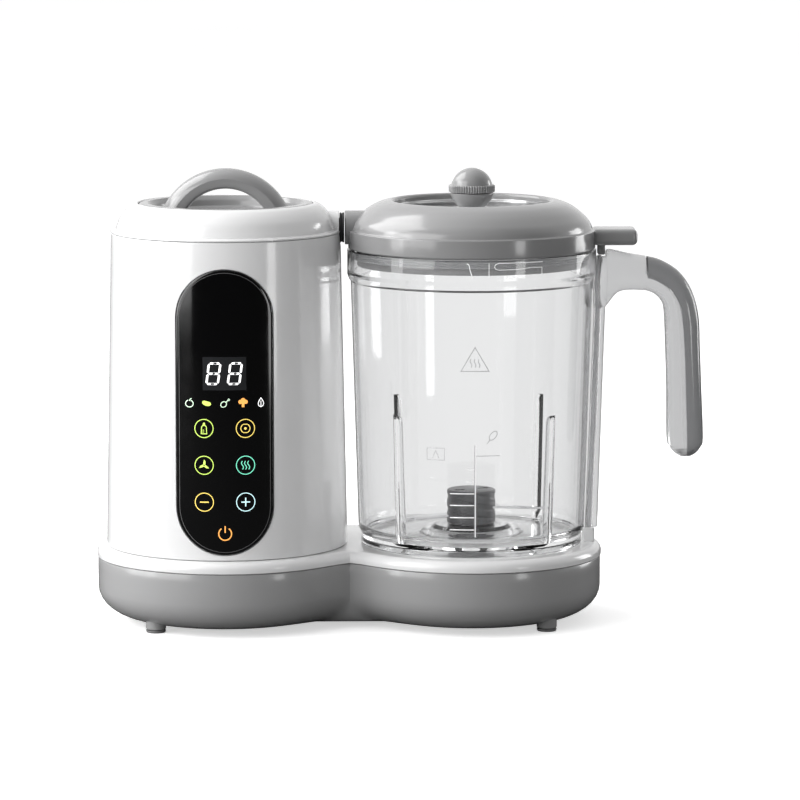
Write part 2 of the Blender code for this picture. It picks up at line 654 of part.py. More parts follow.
# frosted rib down the outside that guides the interlock rod
bm = bmesh.new()
rings = []
for z in (51.9, 120.0, 186.0):
    xo = 110.8 + (z - 52.0) * 0.0298
    xi = XJ + jug_r(z) - 1.6
    rings.append([(xi, -5.2, z), (xo - 1.4, -5.2, z), (xo, -3.8, z), (xo, 3.8, z), (xo - 1.4, 5.2, z), (xi, 5.2, z)])
skin(bm, rings)
join(jug_body, guide("outer_rib", bm))

# clear half of the handle: a full oval near the rim, then a D under the grip
hw = HANDLE_HALF_DEPTH
stations = [
    section((107.6, 170.0), (107.6, 190.0), (107.6, 204.5), hw - 3.5),
    section((114.6, 176.0), (114.6, 192.0), (114.6, 204.5), hw - 1.0),
    section((115.0, 176.6), (115.0, 192.0), (115.0, 208.7), hw - 1.0),
    section((121.2, 184.0), (121.2, 195.0), (121.2, 207.6), hw),
    section((128.0, 185.6), (128.0, 195.0), (128.0, 206.0), hw),
    section((137.0, 185.3), (137.0, 193.0), (137.0, 204.5), hw),
    section((137.5, 185.2), (137.5, 193.0), None, hw),
    section((141.6, 183.6), (143.2, 191.0), None, hw),
    section((145.4, 180.0), (150.2, 186.2), None, hw),
    section((147.3, 175.0), (155.6, 177.6), None, hw),
    section((148.2, 160.0), (158.0, 160.0), None, hw),
    section((149.2, 131.0), (159.3, 131.0), None, hw),
    section((149.6, 102.5), (160.2, 102.5), None, hw),
    section((151.2, 97.4), (160.4, 97.4), None, hw - 1.2),
    section((153.6, 94.0), (160.5, 94.0), None, hw - 3.4),
    section((156.8, 91.9), (160.5, 91.9), None, hw - 6.4),
]
bm = bmesh.new()
skin(bm, stations)
join(jug_body, guide("handle_core", bm))
axis_dir = Vector((ROD_X1 - ROD_X0, 0.0, ROD_Z1 - ROD_Z0)).normalized()
tilt = Vector((0, 0, 1)).rotation_difference(axis_dir).to_matrix()


def along_rod(profile, sides):
    bm = turned(profile, sides)
    bmesh.ops.rotate(bm, cent=(0, 0, 0), matrix=tilt, verts=bm.verts)
    bmesh.ops.translate(bm, vec=(ROD_X0, 0, ROD_Z0), verts=bm.verts)
    return bm


cut(jug_body, guide("rod_bore", along_rod([(0, -4.0), (2.05, -4.0), (2.05, 164.0), (0, 164.0)], 12)))
rod_len = (Vector((ROD_X1, 0, ROD_Z1)) - Vector((ROD_X0, 0, ROD_Z0))).length
finish("lock_rod", along_rod([(0, 0.0), (1.3, 0.0), (1.6, 0.5), (1.6, rod_len - 0.8), (1.0, rod_len), (0, rod_len)],
                             12), M_WHITE, origin=(ROD_X0, 0, ROD_Z0))

# darker grip on the outside of the handle
g = 0.35
stations = [
    section((138.0, 204.3), (138.0, 193.0 + g), None, hw),
    section((145.8, 202.2), (143.2 + g * 0.3, 191.0 + g), None, hw),
    section((155.5, 196.0), (150.2 + g * 0.7, 186.2 + g * 0.8), None, hw),
    section((162.9, 185.5), (155.6 + g, 177.6 + g * 0.4), None, hw),
    section((166.9, 171.0), (157.2 + g, 168.0), None, hw),
    section((167.9, 152.0), (158.36 + g, 152.0), None, hw),
    section((168.8, 131.0), (159.3 + g, 131.0), None, hw),
    section((170.0, 102.5), (160.2 + g, 102.5), None, hw),
    section((168.6, 97.0), (160.4 + g, 97.0), None, hw - 1.2),
    section((166.0, 93.6), (160.5 + g, 93.6), None, hw - 3.4),
    section((163.2, 91.9), (160.5 + g, 91.9), None, hw - 6.4),
]
bm = bmesh.new()
skin(bm, stations)
finish("handle_grip", bm, M_SMOKE)

# bush, coupler and spindle in the jug's floor
finish("spindle_bush", turned([(3.5, 50.6), (8.6, 50.6), (8.6, 54.1), (11.0, 54.1), (11.0, 55.2), (3.5, 55.2)],
                              MED, XJ), M_RUBBER)
jug_coupler = finish("jug_coupler", turned([(0, 44.7), (13.0, 44.7), (13.0, 50.2),
                                            (0, 50.2)], MED, XJ), M_DARK, origin=(XJ, 0, 44.7))
bm = prism([(XJ + x, y) for x, y in star(9.3, 7.5, 6)], 44.0, 48.7)
add(bm, turned([(0, 48.0), (3.4, 48.0), (3.4, 51.0), (0, 51.0)], SMALL, XJ))
cut(jug_coupler, guide("coupler_socket", bm))
jug_spindle = finish("jug_spindle", turned([(0, 48.9), (3.0, 48.9), (3.0, 58.5), (0, 58.5)], SMALL, XJ),
                     M_STEEL, origin=(XJ, 0, 48.9))
join(jug_spindle, guide("spindle_hex", turned([(0, 58.0), (3.3, 58.0), (3.3, 70.8), (2.6, 71.6), (0, 71.6)], 6, XJ)))

# ------------------------------------------------------------------ blade unit

HUB_R, HUB_Z0, HUB_Z1 = 13.6, 54.5, 73.4
blade_hub = finish("blade_hub", turned(
    [(0, 57.0), (11.8, 57.0), (11.8, HUB_Z0), (HUB_R, HUB_Z0), (HUB_R, 72.7), (12.9, HUB_Z1),
     (0, HUB_Z1)], MED, XJ), M_DARK, origin=(XJ, 0, HUB_Z0))
cut(blade_hub, guide("hub_bore", turned([(0, 56.0), (3.75, 56.0), (3.75, 72.0), (0, 72.0)], 6, XJ)))


def blade(name, angle, z_root, z_tip, grow=0.0):
    """Curved flat blade from inside the hub to its tip; grow makes its pocket."""
    r0, r1, half = 7.6 - grow, 41.0, 6.4
    n = 8
    lead, trail = [], []
    for i in range(n + 1):
        t = i / n
        r = lerp(r0, r1, t)
        sweep = -0.42 * t * t
        width = lerp(half, 1.1, t ** 1.6) + grow
        zc = z_root + (z_tip - z_root) * max(0.0, (r - 15.0) / (r1 - 15.0)) ** 0.8
        lead.append((r, sweep * 12.0 + width * 0.55, zc))
        trail.append((r, sweep * 12.0 - width, zc))
        if grow and r > 16.0:
            break
    bm = bmesh.new()
    t2 = 0.65 + grow
    rings = []
    for (r, ya, zc), (_, yb, _z) in zip(lead, trail):
        rings.append([(r, ya, zc - t2), (r, ya, zc + t2), (r, yb, zc + t2), (r, yb, zc - t2)])
    skin(bm, rings)
    bmesh.ops.rotate(bm, cent=(0, 0, 0), matrix=Matrix.Rotation(angle, 3, "Z"), verts=bm.verts)
    bmesh.ops.translate(bm, vec=(XJ, 0, 0), verts=bm.verts)
    if grow:
        return guide(name, bm)
    return finish(name, bm, M_STEEL, origin=(XJ, 0, z_root))


blade("blade_upper", math.radians(6.0), 63.6, 62.6)
blade("blade_lower", math.radians(186.0), 58.6, 55.6)
cut(blade_hub, blade("upper_pocket", math.radians(6.0), 63.6, 62.6, grow=0.35))
cut(blade_hub, blade("lower_pocket", math.radians(186.0), 58.6, 55.6, grow=0.35))

# ------------------------------------------------------------------ jug lid

lid_dome = finish("lid_dome", turned(
    [(66.6, 209.6), (68.9, 209.6), (68.9, 219.8), (67.5, 219.9),
     (62.4, 227.6), (54.1, 233.8), (46.4, 236.1), (44.4, 235.8), (43.6, 234.8),
     (43.6, 230.8), (40.4, 230.8), (40.4, 228.8), (47.0, 228.8), (52.4, 231.2), (60.4, 225.2),
     (65.9, 216.5)], BIG, XJ), M_GREY, origin=(XJ, 0, 209.6))
lid_port = guide("lid_port", turned([(0, -30.8), (DUCT_R, -30.8), (DUCT_R, -19.0), (0, -19.0)], MED, 0, DUCT_Z,
                                    axis="X", phase=0.11))
cut(lid_port, guide("port_relief", block(-26.6, -10.0, -12.0, 12.0, 205.0, 215.0)))
# its mouth is rounded about the jug's axis, so that it clears the seal as the lid turns
boolean(lid_port, guide("port_sweep", turned([(0, 205.0), (70.85, 205.0), (70.85, 235.0), (0, 235.0)], 96, XJ)),
        "INTERSECT")
join(lid_dome, lid_port)
cut(lid_dome, guide("port_bore", turned([(0, -33.0), (4.5, -33.0), (4.5, -15.0), (0, -15.0)], SMALL, 0, DUCT_Z,
                                        axis="X", phase=0.17)))
# thumb tab over the handle, with the lug that pushes the interlock rod
join(lid_dome, guide("thumb_tab", block(106.9, 131.9, -11.5, 11.5, 211.2, 220.2, 2.4, 2)))
join(lid_dome, guide("tab_lug", block(110.2, 114.3, -4.0, 4.0, 205.4, 213.0, 0.6)))

finish("lid_collar", turned([(61.9, 200.2), (64.4, 200.2), (64.4, 210.0), (65.6, 210.4),
                             (65.6, 213.8), (61.9, 213.8)], BIG, XJ), M_GREY, origin=(XJ, 0, 200.2))
finish("lid_seal", turned([(64.75, 203.8), (65.85, 203.8), (65.85, 208.0), (64.75, 208.0)], BIG, XJ), M_SILICONE,
       origin=(XJ, 0, 203.8))
filler_window = finish("filler_window", turned(
    [(2.2, 229.6), (39.9, 229.6), (39.9, 231.1), (43.1, 231.2), (43.1, 232.9),
     (40.6, 232.9), (38.6, 231.9), (2.2, 231.9)], BIG, XJ), M_CLEAR, origin=(XJ, 0, 229.4))
finish("knob_base", turned([(1.9, 232.3), (7.4, 232.3), (10.6, 236.0), (12.1, 240.0), (1.9, 240.0)],
                           MED, XJ), M_GREY, origin=(XJ, 0, 232.4))


def knurled_cap():
    """Ball top with a ribbed band; 18 ribs round the band."""
    bm = bmesh.new()
    n = 36
    prof = [(2.0, 240.4, 0), (12.9, 240.4, 1), (12.9, 244.6, 1)]
    rings = []
    for r, z, ribbed in prof:
        rings.append([((r - (0.45 if ribbed and i % 2 else 0)) * math.cos(2 * math.pi * i / n) + XJ,
                       (r - (0.45 if ribbed and i % 2 else 0)) * math.sin(2 * math.pi * i / n), z) for i in range(n)])
    for deg in (14, 40, 66):
        r, z = 11.6 * math.cos(math.radians(deg)), 242.4 + 11.5 * math.sin(math.radians(deg))
        rings.append([(XJ + r * math.cos(2 * math.pi * i / n), r * math.sin(2 * math.pi * i / n), z)
                      for i in range(n)])
    rings.append([(XJ, 0.0, 253.9)])
    rings.append([(XJ, 0.0, 253.9)])
    rings.pop()
    full = [[(XJ, 0.0, 240.4)]] + rings[1:]
    skin(bm, full)
    return bm


finish("knob_cap", knurled_cap(), M_GREY, origin=(XJ, 0, 240.4))
finish("knob_screw", turned([(0, 227.6), (3.6, 227.6), (4.0, 228.2), (4.0, 229.2), (1.5, 229.2), (1.5, 239.4),
                             (0, 239.6)], 12, XJ), M_STEEL, origin=(XJ, 0, 227.6))

# ------------------------------------------------------------------ tank lid

finish("tank_lid_disc", turned(
    [(0, 226.4), (44.4, 226.4), (44.4, 227.8), (43.2, 227.8), (43.2, 232.9), (48.4, 232.9),
     (48.2, 234.5), (46.8, 235.0), (43.4, 235.0), (41.2, 232.6), (40.0, 228.8),
     (0, 228.8)], BIG, XT), M_GREY, origin=(XT, 0, 226.4))
finish("tank_lid_seal", turned([(43.55, 228.2), (45.05, 228.2), (45.05, 232.4), (43.55, 232.4)], BIG, XT),
       M_SILICONE, origin=(XT, 0, 228.2))


def arch():
    """Arched handle: outer and inner arcs meet the dish; a rounded bar between."""
    zb = 229.15
    ro = (34.6 ** 2 + 21.9 ** 2) / (2 * 21.9)
    zo = 253.9 - ro
    ri = (21.0 ** 2 + 10.9 ** 2) / (2 * 10.9)
    zi = 242.9 - ri
    ao = math.acos((zb - zo) / ro)
    ai = math.acos((zb - zi) / ri)
    rings = []
    n = 18
    for k in range(n + 1):
        t = 2.0 * k / n - 1.0
        po = (XT + ro * math.sin(t * ao), zo + ro * math.cos(t * ao))
        pi = (XT + ri * math.sin(t * ai), zi + ri * math.cos(t * ai))
        if k in (0, n):
            po, pi = (po[0], zb), (pi[0], zb)
        mid = ((po[0] + pi[0]) / 2, (po[1] + pi[1]) / 2)
        rings.append(section(pi, mid, po, ARCH_HALF_DEPTH, n=4, power=3.2))
    bm = bmesh.new()
    skin(bm, rings)
    return bm


finish("tank_lid_handle", arch(), M_GREY, origin=(XT, 0, 229.1))
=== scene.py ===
"""Baby food maker: finished surfaces, details, light and camera.

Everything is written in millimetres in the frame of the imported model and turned
into metres when a mesh is made.
"""
import json
import math
import random

import bmesh
import bpy
from mathutils import Matrix, Vector


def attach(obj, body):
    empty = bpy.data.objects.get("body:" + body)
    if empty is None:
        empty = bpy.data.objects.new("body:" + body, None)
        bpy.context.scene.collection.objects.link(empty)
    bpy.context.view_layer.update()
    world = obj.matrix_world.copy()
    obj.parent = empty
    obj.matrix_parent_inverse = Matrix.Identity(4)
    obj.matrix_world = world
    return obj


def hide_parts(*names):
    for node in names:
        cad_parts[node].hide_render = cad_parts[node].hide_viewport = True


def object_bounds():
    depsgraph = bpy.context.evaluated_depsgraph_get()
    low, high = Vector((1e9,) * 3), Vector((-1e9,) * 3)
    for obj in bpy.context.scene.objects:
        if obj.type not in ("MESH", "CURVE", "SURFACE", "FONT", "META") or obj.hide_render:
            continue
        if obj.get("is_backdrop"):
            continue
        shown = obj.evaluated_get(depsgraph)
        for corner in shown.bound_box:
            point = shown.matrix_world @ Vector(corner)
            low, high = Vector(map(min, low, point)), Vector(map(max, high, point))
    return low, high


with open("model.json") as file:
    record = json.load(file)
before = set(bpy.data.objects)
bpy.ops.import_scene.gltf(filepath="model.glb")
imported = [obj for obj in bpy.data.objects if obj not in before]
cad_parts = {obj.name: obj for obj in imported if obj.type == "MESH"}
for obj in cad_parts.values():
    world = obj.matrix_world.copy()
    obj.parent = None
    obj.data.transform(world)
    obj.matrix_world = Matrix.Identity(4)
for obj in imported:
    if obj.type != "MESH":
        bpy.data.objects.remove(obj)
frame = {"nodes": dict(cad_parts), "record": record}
NODES = frame["nodes"]


def plain(value):
    """Nested lists of plain numbers from vectors."""
    if isinstance(value, (int, float)):
        return float(value)
    return [plain(v) for v in value]


CAD_BOX = plain(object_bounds())
MM = 0.001
random.seed(7)
scene = bpy.context.scene

# ------------------------------------------------------------------ dimensions shared with the frame
XT, XJ = -97.0, 40.0
XM = (XT + XJ) / 2
PAN_R, PAN_BOTTOM_R = 72.5, 48.0
PAN_BOTTOM_Z, PAN_TOP_Z, PAN_TURN_Z, PAN_WALL = 3.0, 37.0, 20.0, 2.5
DECK_R, DECK_TOP_Z = 73.0, 43.7
WAIST_FRONT, WAIST_FRONT_LOW = 36.0, 28.0
WAIST_BACK, WAIST_BACK_LOW = 61.0, 38.0
WAIST_BLEND, WAIST_BLEND_BACK = 18.0, 11.0
TOWER_R0, TOWER_Z0, TOWER_R1, TOWER_Z1, TOWER_WALL = 67.5, 44.0, 63.8, 218.4, 2.6
DUCT_Z, DUCT_R = 220.7, 9.5
PANEL_HALF_W, PANEL_Z0, PANEL_Z1 = 26.5, 47.1, 203.7
JUG_WALL_R0, JUG_WALL_Z0, JUG_WALL_R1, JUG_WALL_Z1 = 63.3, 52.5, 67.5, 190.5
JUG_RIM_R, JUG_RIM_Z, JUG_WALL = 69.4, 209.0, 3.1
ROD_X0, ROD_Z0, ROD_X1, ROD_Z1 = 105.9, 52.0, 111.3, 204.9
FOOT_X, FOOT_Y, GLAND_Z = (-136.0, 80.5), 42.0, 26.8
SCREW_POS = ((-128.0, 28.0), (-128.0, -28.0), (72.0, 28.0), (72.0, -28.0))
SIDES = 144


def lerp(a, b, t):
    return a + (b - a) * t


def tower_r(z):
    return lerp(TOWER_R0, TOWER_R1, (z - TOWER_Z0) / (TOWER_Z1 - TOWER_Z0))


def jug_r(z):
    return lerp(JUG_WALL_R0, JUG_WALL_R1, (z - JUG_WALL_Z0) / (JUG_WALL_Z1 - JUG_WALL_Z0))


# ------------------------------------------------------------------ mesh helpers

def skin(bm, rings, loop=False, caps=(True, True)):
    made = [[bm.verts.new(p) for p in ring] for ring in rings]
    pairs = list(zip(made[:-1], made[1:]))
    if loop:
        pairs.append((made[-1], made[0]))
    for low, high in pairs:
        n = max(len(low), len(high))
        for i in range(n):
            j = (i + 1) % n
            if len(low) == 1 and len(high) == 1:
                continue
            if len(low) == 1:
                bm.faces.new((low[0], high[j], high[i]))
            elif len(high) == 1:
                bm.faces.new((low[i], low[j], high[0]))
            else:
                bm.faces.new((low[i], low[j], high[j], high[i]))
    if not loop:
        if caps[0] and len(made[0]) > 2:
            bm.faces.new(list(reversed(made[0])))
        if caps[1] and len(made[-1]) > 2:
            bm.faces.new(made[-1])
    return made


def rounded(profile, closed=None, step=11.0, split=14.0):
    """Fillet each corner whose third number is a radius, and split long runs."""
    n = len(profile)
    if closed is None:
        closed = not (profile[0][0] < 1e-6 and profile[-1][0] < 1e-6)
    out = []
    for i, p in enumerate(profile):
        f = p[2] if len(p) > 2 else 0.0
        if f <= 0 or (not closed and i in (0, n - 1)):
            out.append((p[0], p[1]))
            continue
        a, b, c = Vector(profile[i - 1][:2]), Vector(p[:2]), Vector(profile[(i + 1) % n][:2])
        u, v = a - b, c - b
        lu, lv = u.length, v.length
        u.normalize(), v.normalize()
        ang = u.angle(v)
        if ang > math.pi - 0.03:
            out.append((p[0], p[1]))
            continue
        t = min(f / math.tan(ang / 2), lu * 0.48, lv * 0.48)
        f = t * math.tan(ang / 2)
        p0, p1 = b + u * t, b + v * t
        centre = b + (u + v).normalized() * (f / math.sin(ang / 2))
        a0 = math.atan2(p0.y - centre.y, p0.x - centre.x)
        a1 = math.atan2(p1.y - centre.y, p1.x - centre.x)
        d = (a1 - a0 + math.pi) % (2 * math.pi) - math.pi
        k = max(2, int(math.ceil(abs(math.degrees(d)) / step)))
        for j in range(k + 1):
            q = a0 + d * j / k
            out.append((centre.x + f * math.cos(q), centre.y + f * math.sin(q)))
    fine = []
    m = len(out)
    for i in range(m if closed else m - 1):
        a, b = out[i], out[(i + 1) % m]
        length = math.hypot(a[0] - b[0], a[1] - b[1])
        fine.append(a)
        k = int(length // split)
        for j in range(1, k + 1):
            fine.append((lerp(a[0], b[0], j / (k + 1)), lerp(a[1], b[1], j / (k + 1))))
    if not closed:
        fine.append(out[-1])
    return fine


def smooth(points, k=5):
    """Points of a smooth curve through the given points."""
    out = []
    n = len(points)
    for i in range(n - 1):
        p0 = points[max(i - 1, 0)]
        p1, p2 = points[i], points[i + 1]
        p3 = points[min(i + 2, n - 1)]
        for j in range(k):
            t = j / k
            out.append(tuple(
                0.5 * ((2 * b) + (-a + c) * t + (2 * a - 5 * b + 4 * c - d) * t * t
                       + (-a + 3 * b - 3 * c + d) * t ** 3)
                for a, b, c, d in zip(p0, p1, p2, p3)))
    out.append(tuple(points[-1]))
    return out


def turned(profile, sides=SIDES, cx=0.0, cy=0.0, axis="Z", phase=0.0, ripple=None):
    bm = bmesh.new()
    rings = []
    for r, t in profile:
        if r < 1e-6:
            pts = [(0.0, 0.0, t)]
        else:
            pts = []
            for i in range(sides):
                a = phase + 2 * math.pi * i / sides
                q = r if ripple is None else ripple(r, a, t)
                pts.append((q * math.cos(a), q * math.sin(a), t))
        if axis == "Z":
            ring = [(cx + a, cy + b, c) for a, b, c in pts]
        elif axis == "X":
            ring = [(c, cx + a, cy + b) for a, b, c in pts]
        else:
            ring = [(cx + a, c, cy + b) for a, b, c in pts]
        rings.append(ring)
    solid = profile[0][0] < 1e-6 and profile[-1][0] < 1e-6
    skin(bm, rings, loop=not solid)
    return bm


def lathe(profile, *args, **kw):
    return turned(rounded(profile), *args, **kw)


def block(x0, x1, y0, y1, z0, z1, bevel=0.0, segments=4):
    bm = bmesh.new()
    bmesh.ops.create_cube(bm, size=1.0)
    size = Matrix.Diagonal((x1 - x0, y1 - y0, z1 - z0, 1.0))
    place = Matrix.Translation(((x0 + x1) / 2, (y0 + y1) / 2, (z0 + z1) / 2))
    bmesh.ops.transform(bm, matrix=place @ size, verts=bm.verts)
    if bevel > 0:
        bmesh.ops.bevel(bm, geom=list(bm.edges), offset=bevel, segments=segments,
                        profile=0.5, affect="EDGES")
    return bm


def add(target, other):
    tmp = bpy.data.meshes.new("tmp")
    other.to_mesh(tmp)
    other.free()
    target.from_mesh(tmp)
    bpy.data.meshes.remove(tmp)
    return target


def gathered(parts):
    bm = bmesh.new()
    for p in parts:
        add(bm, p)
    return bm


def cross_recess(x, y, r, w, z0, z1):
    """A cross-shaped cutter for a screw head, as one closed solid."""
    plan = [(r, -w), (r, w), (w, w), (w, r), (-w, r), (-w, w), (-r, w), (-r, -w), (-w, -w), (-w, -r), (w, -r), (w, -w)]
    bm = bmesh.new()
    skin(bm, [[(x + px, y + py, z) for px, py in plan] for z in (z0, z1)])
    return bm


def raw(name, bm, scale=MM):
    bmesh.ops.recalc_face_normals(bm, faces=bm.faces)
    bmesh.ops.transform(bm, matrix=Matrix.Diagonal((scale, scale, scale, 1.0)), verts=bm.verts)
    mesh = bpy.data.meshes.new(name)
    bm.to_mesh(mesh)
    bm.free()
    ob = bpy.data.objects.new(name, mesh)
    scene.collection.objects.link(ob)
    return ob


def piece(name, bm, mat, body, *nodes, slot=None, angle=30.0, tools=()):
    """A finished piece: booleans, smooth shading, material, body and the nodes that it stands for."""
    ob = raw(name, bm)
    helpers = []
    for op, tool in tools:
        helper = raw(name + "_tool", tool)
        mod = ob.modifiers.new(op, "BOOLEAN")
        mod.object, mod.operation, mod.solver = helper, op, "EXACT"
        helpers.append(helper)
    if helpers:
        bpy.context.view_layer.update()
        mesh = bpy.data.meshes.new_from_object(
            ob.evaluated_get(bpy.context.evaluated_depsgraph_get()))
        ob.modifiers.clear()
        old = ob.data
        ob.data = mesh
        bpy.data.meshes.remove(old)
        mesh.name = name
        # slivers that the cuts leave behind
        tidy = bmesh.new()
        tidy.from_mesh(mesh)
        bmesh.ops.remove_doubles(tidy, verts=tidy.verts, dist=6e-6)
        bmesh.ops.dissolve_degenerate(tidy, edges=tidy.edges, dist=6e-6)
        tidy.to_mesh(mesh)
        tidy.free()
        for h in helpers:
            data = h.data
            bpy.data.objects.remove(h)
            bpy.data.meshes.remove(data)
    ob.data.shade_smooth()
    ob.data.set_sharp_from_angle(angle=math.radians(angle))
    ob.data.materials.clear()
    ob.data.materials.append(mat)
    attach(ob, body)
    if nodes:
        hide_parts(*nodes)
    return ob


# ------------------------------------------------------------------ materials

def shader(name):
    mat = bpy.data.materials.new(name)
    mat.use_nodes = True
    nt = mat.node_tree
    bsdf = nt.nodes["Principled BSDF"]
    tc = nt.nodes.new("ShaderNodeTexCoord")
    return mat, nt, bsdf, tc.outputs["Object"]


def noise(nt, vector, scale, detail=3.0, rough=0.55, stretch=None):
    if stretch is not None:
        mp = nt.nodes.new("ShaderNodeMapping")
        mp.inputs["Scale"].default_value = stretch
        nt.links.new(vector, mp.inputs["Vector"])
        vector = mp.outputs["Vector"]
    n = nt.nodes.new("ShaderNodeTexNoise")
    n.inputs["Scale"].default_value = scale
    n.inputs["Detail"].default_value = detail
    n.inputs["Roughness"].default_value = rough
    nt.links.new(vector, n.inputs["Vector"])
    return n.outputs["Fac"]


def span(nt, value, lo, hi, out_lo, out_hi):
    m = nt.nodes.new("ShaderNodeMapRange")
    m.inputs["From Min"].default_value = lo
    m.inputs["From Max"].default_value = hi
    m.inputs["To Min"].default_value = out_lo
    m.inputs["To Max"].default_value = out_hi
    nt.links.new(value, m.inputs["Value"])
    return m.outputs["Result"]


def two_tone(nt, fac, a, b, lo=0.3, hi=0.7):
    ramp = nt.nodes.new("ShaderNodeValToRGB")
    ramp.color_ramp.elements[0].position = lo
    ramp.color_ramp.elements[1].position = hi
    ramp.color_ramp.elements[0].color = (*a, 1.0)
    ramp.color_ramp.elements[1].color = (*b, 1.0)
    nt.links.new(fac, ramp.inputs["Fac"])
    return ramp.outputs["Color"]


def bump(nt, bsdf, height, strength, distance, previous=None):
    b = nt.nodes.new("ShaderNodeBump")
    b.inputs["Strength"].default_value = strength
    b.inputs["Distance"].default_value = distance
    nt.links.new(height, b.inputs["Height"])
    if previous is not None:
        nt.links.new(previous, b.inputs["Normal"])
    nt.links.new(b.outputs["Normal"], bsdf.inputs["Normal"])
    return b.outputs["Normal"]


def scaled(rgb, f):
    return tuple(min(1.0, c * f) for c in rgb)


def plastic(name, rgb, rough, spread=0.05, vary=0.03, peel=0.05, peel_scale=300.0, grain=0.0,
            coat=0.0, coat_rough=0.04, specular=0.5):
    """Moulded plastic: slight mottle, uneven gloss with faint scuffs, orange peel or grain."""
    mat, nt, bsdf, co = shader(name)
    tone = noise(nt, co, 28.0, 4.0)
    nt.links.new(two_tone(nt, tone, scaled(rgb, 1 - vary), scaled(rgb, 1 + vary)), bsdf.inputs["Base Color"])
    gloss = noise(nt, co, 65.0, 5.0, 0.6)
    nt.links.new(span(nt, gloss, 0.3, 0.7, max(rough - spread, 0.02), rough + spread), bsdf.inputs["Roughness"])
    n = None
    if peel:
        n = bump(nt, bsdf, noise(nt, co, peel_scale, 2.0), peel, 0.0004)
    if grain:
        n = bump(nt, bsdf, noise(nt, co, 2600.0, 3.0), grain, 0.0001, n)
    if coat:
        bsdf.inputs["Coat Weight"].default_value = coat
        bsdf.inputs["Coat Roughness"].default_value = coat_rough
    bsdf.inputs["Specular IOR Level"].default_value = specular
    return mat


def metal(name, rgb, rough, spread=0.07, stretch=(60.0, 60.0, 4000.0), amount=0.12, vary=0.06):
    """Metal with a fine lay: streaks stretched along the surface."""
    mat, nt, bsdf, co = shader(name)
    streak = noise(nt, co, 1.0, 4.0, 0.6, stretch)
    nt.links.new(two_tone(nt, streak, scaled(rgb, 1 - vary), scaled(rgb, 1 + vary)), bsdf.inputs["Base Color"])
    nt.links.new(span(nt, streak, 0.3, 0.7, rough - spread, rough + spread), bsdf.inputs["Roughness"])
    bump(nt, bsdf, streak, amount, 0.0001)
    bsdf.inputs["Metallic"].default_value = 1.0
    return mat


def rubber(name, rgb, rough=0.62, grain=0.35):
    mat, nt, bsdf, co = shader(name)
    dust = noise(nt, co, 90.0, 5.0, 0.65)
    nt.links.new(two_tone(nt, dust, scaled(rgb, 0.85), scaled(rgb, 1.2)), bsdf.inputs["Base Color"])
    nt.links.new(span(nt, dust, 0.3, 0.7, rough - 0.08, rough + 0.1), bsdf.inputs["Roughness"])
    bump(nt, bsdf, noise(nt, co, 1800.0, 3.0), grain, 0.00012)
    bsdf.inputs["Specular IOR Level"].default_value = 0.35
    return mat


def clear(name, tint, edge, blend=0.35, rough=0.02, ior=1.49, transmission=1.0, flow=0.05, handle_shade_and_haze=None):
    """Clear moulding: painted shade turns the colour to a darker edge tint where the surface faces away from view, with
    faint flow waves.
    """
    mat, nt, bsdf, co = shader(name)
    # painted shade: the edge tint is mixed in by how far the surface faces away from view
    lw = nt.nodes.new("ShaderNodeLayerWeight")
    lw.inputs["Blend"].default_value = blend
    edge_shade_mottle = noise(nt, co, 24.0, 3.0)
    mix = nt.nodes.new("ShaderNodeMix")
    mix.data_type = "RGBA"
    mix.inputs["A"].default_value = (*tint, 1.0)
    nt.links.new(lw.outputs["Facing"], mix.inputs["Factor"])
    nt.links.new(two_tone(nt, edge_shade_mottle, scaled(edge, 0.94), scaled(edge, 1.06)), mix.inputs["B"])
    color = mix.outputs["Result"]
    fog = span(nt, noise(nt, co, 120.0, 4.0), 0.3, 0.7, max(rough - 0.015, 0.0), rough + 0.02)
    if handle_shade_and_haze is not None:
        # painted shade: the solid handle is painted a deeper grey than the thin wall, standing in for the shading seen
        # in the solid clear handle; it is also a little cloudy
        start, end, depth, cloud = handle_shade_and_haze
        sep = nt.nodes.new("ShaderNodeSeparateXYZ")
        nt.links.new(co, sep.inputs["Vector"])
        along = span(nt, sep.outputs["X"], start, end, 0.0, 1.0)
        handle_shade_mix = nt.nodes.new("ShaderNodeMix")
        handle_shade_mix.data_type = "RGBA"
        handle_shade_mix.blend_type = "MULTIPLY"
        handle_shade_mix.inputs["B"].default_value = (*depth, 1.0)
        nt.links.new(along, handle_shade_mix.inputs["Factor"])
        nt.links.new(color, handle_shade_mix.inputs["A"])
        color = handle_shade_mix.outputs["Result"]
        haze = nt.nodes.new("ShaderNodeMath")
        haze.operation = "MULTIPLY_ADD"
        haze.inputs[1].default_value = cloud
        nt.links.new(along, haze.inputs[0])
        nt.links.new(fog, haze.inputs[2])
        fog = haze.outputs["Value"]
    nt.links.new(color, bsdf.inputs["Base Color"])
    nt.links.new(fog, bsdf.inputs["Roughness"])
    if flow:
        bump(nt, bsdf, noise(nt, co, 30.0, 2.0), flow, 0.0006)
    bsdf.inputs["Transmission Weight"].default_value = transmission
    bsdf.inputs["IOR"].default_value = ior
    # light falls through the moulding onto what is under it
    path = nt.nodes.new("ShaderNodeLightPath")
    through = nt.nodes.new("ShaderNodeBsdfTransparent")
    through.inputs["Color"].default_value = (0.96, 0.96, 0.96, 1.0)
    part = nt.nodes.new("ShaderNodeMath")
    part.operation = "MULTIPLY"
    part.inputs[1].default_value = transmission
    nt.links.new(path.outputs["Is Shadow Ray"], part.inputs[0])
    both = nt.nodes.new("ShaderNodeMixShader")
    nt.links.new(part.outputs["Value"], both.inputs["Fac"])
    nt.links.new(bsdf.outputs["BSDF"], both.inputs[1])
    nt.links.new(through.outputs["BSDF"], both.inputs[2])
    nt.links.new(both.outputs["Shader"], nt.nodes["Material Output"].inputs["Surface"])
    return mat


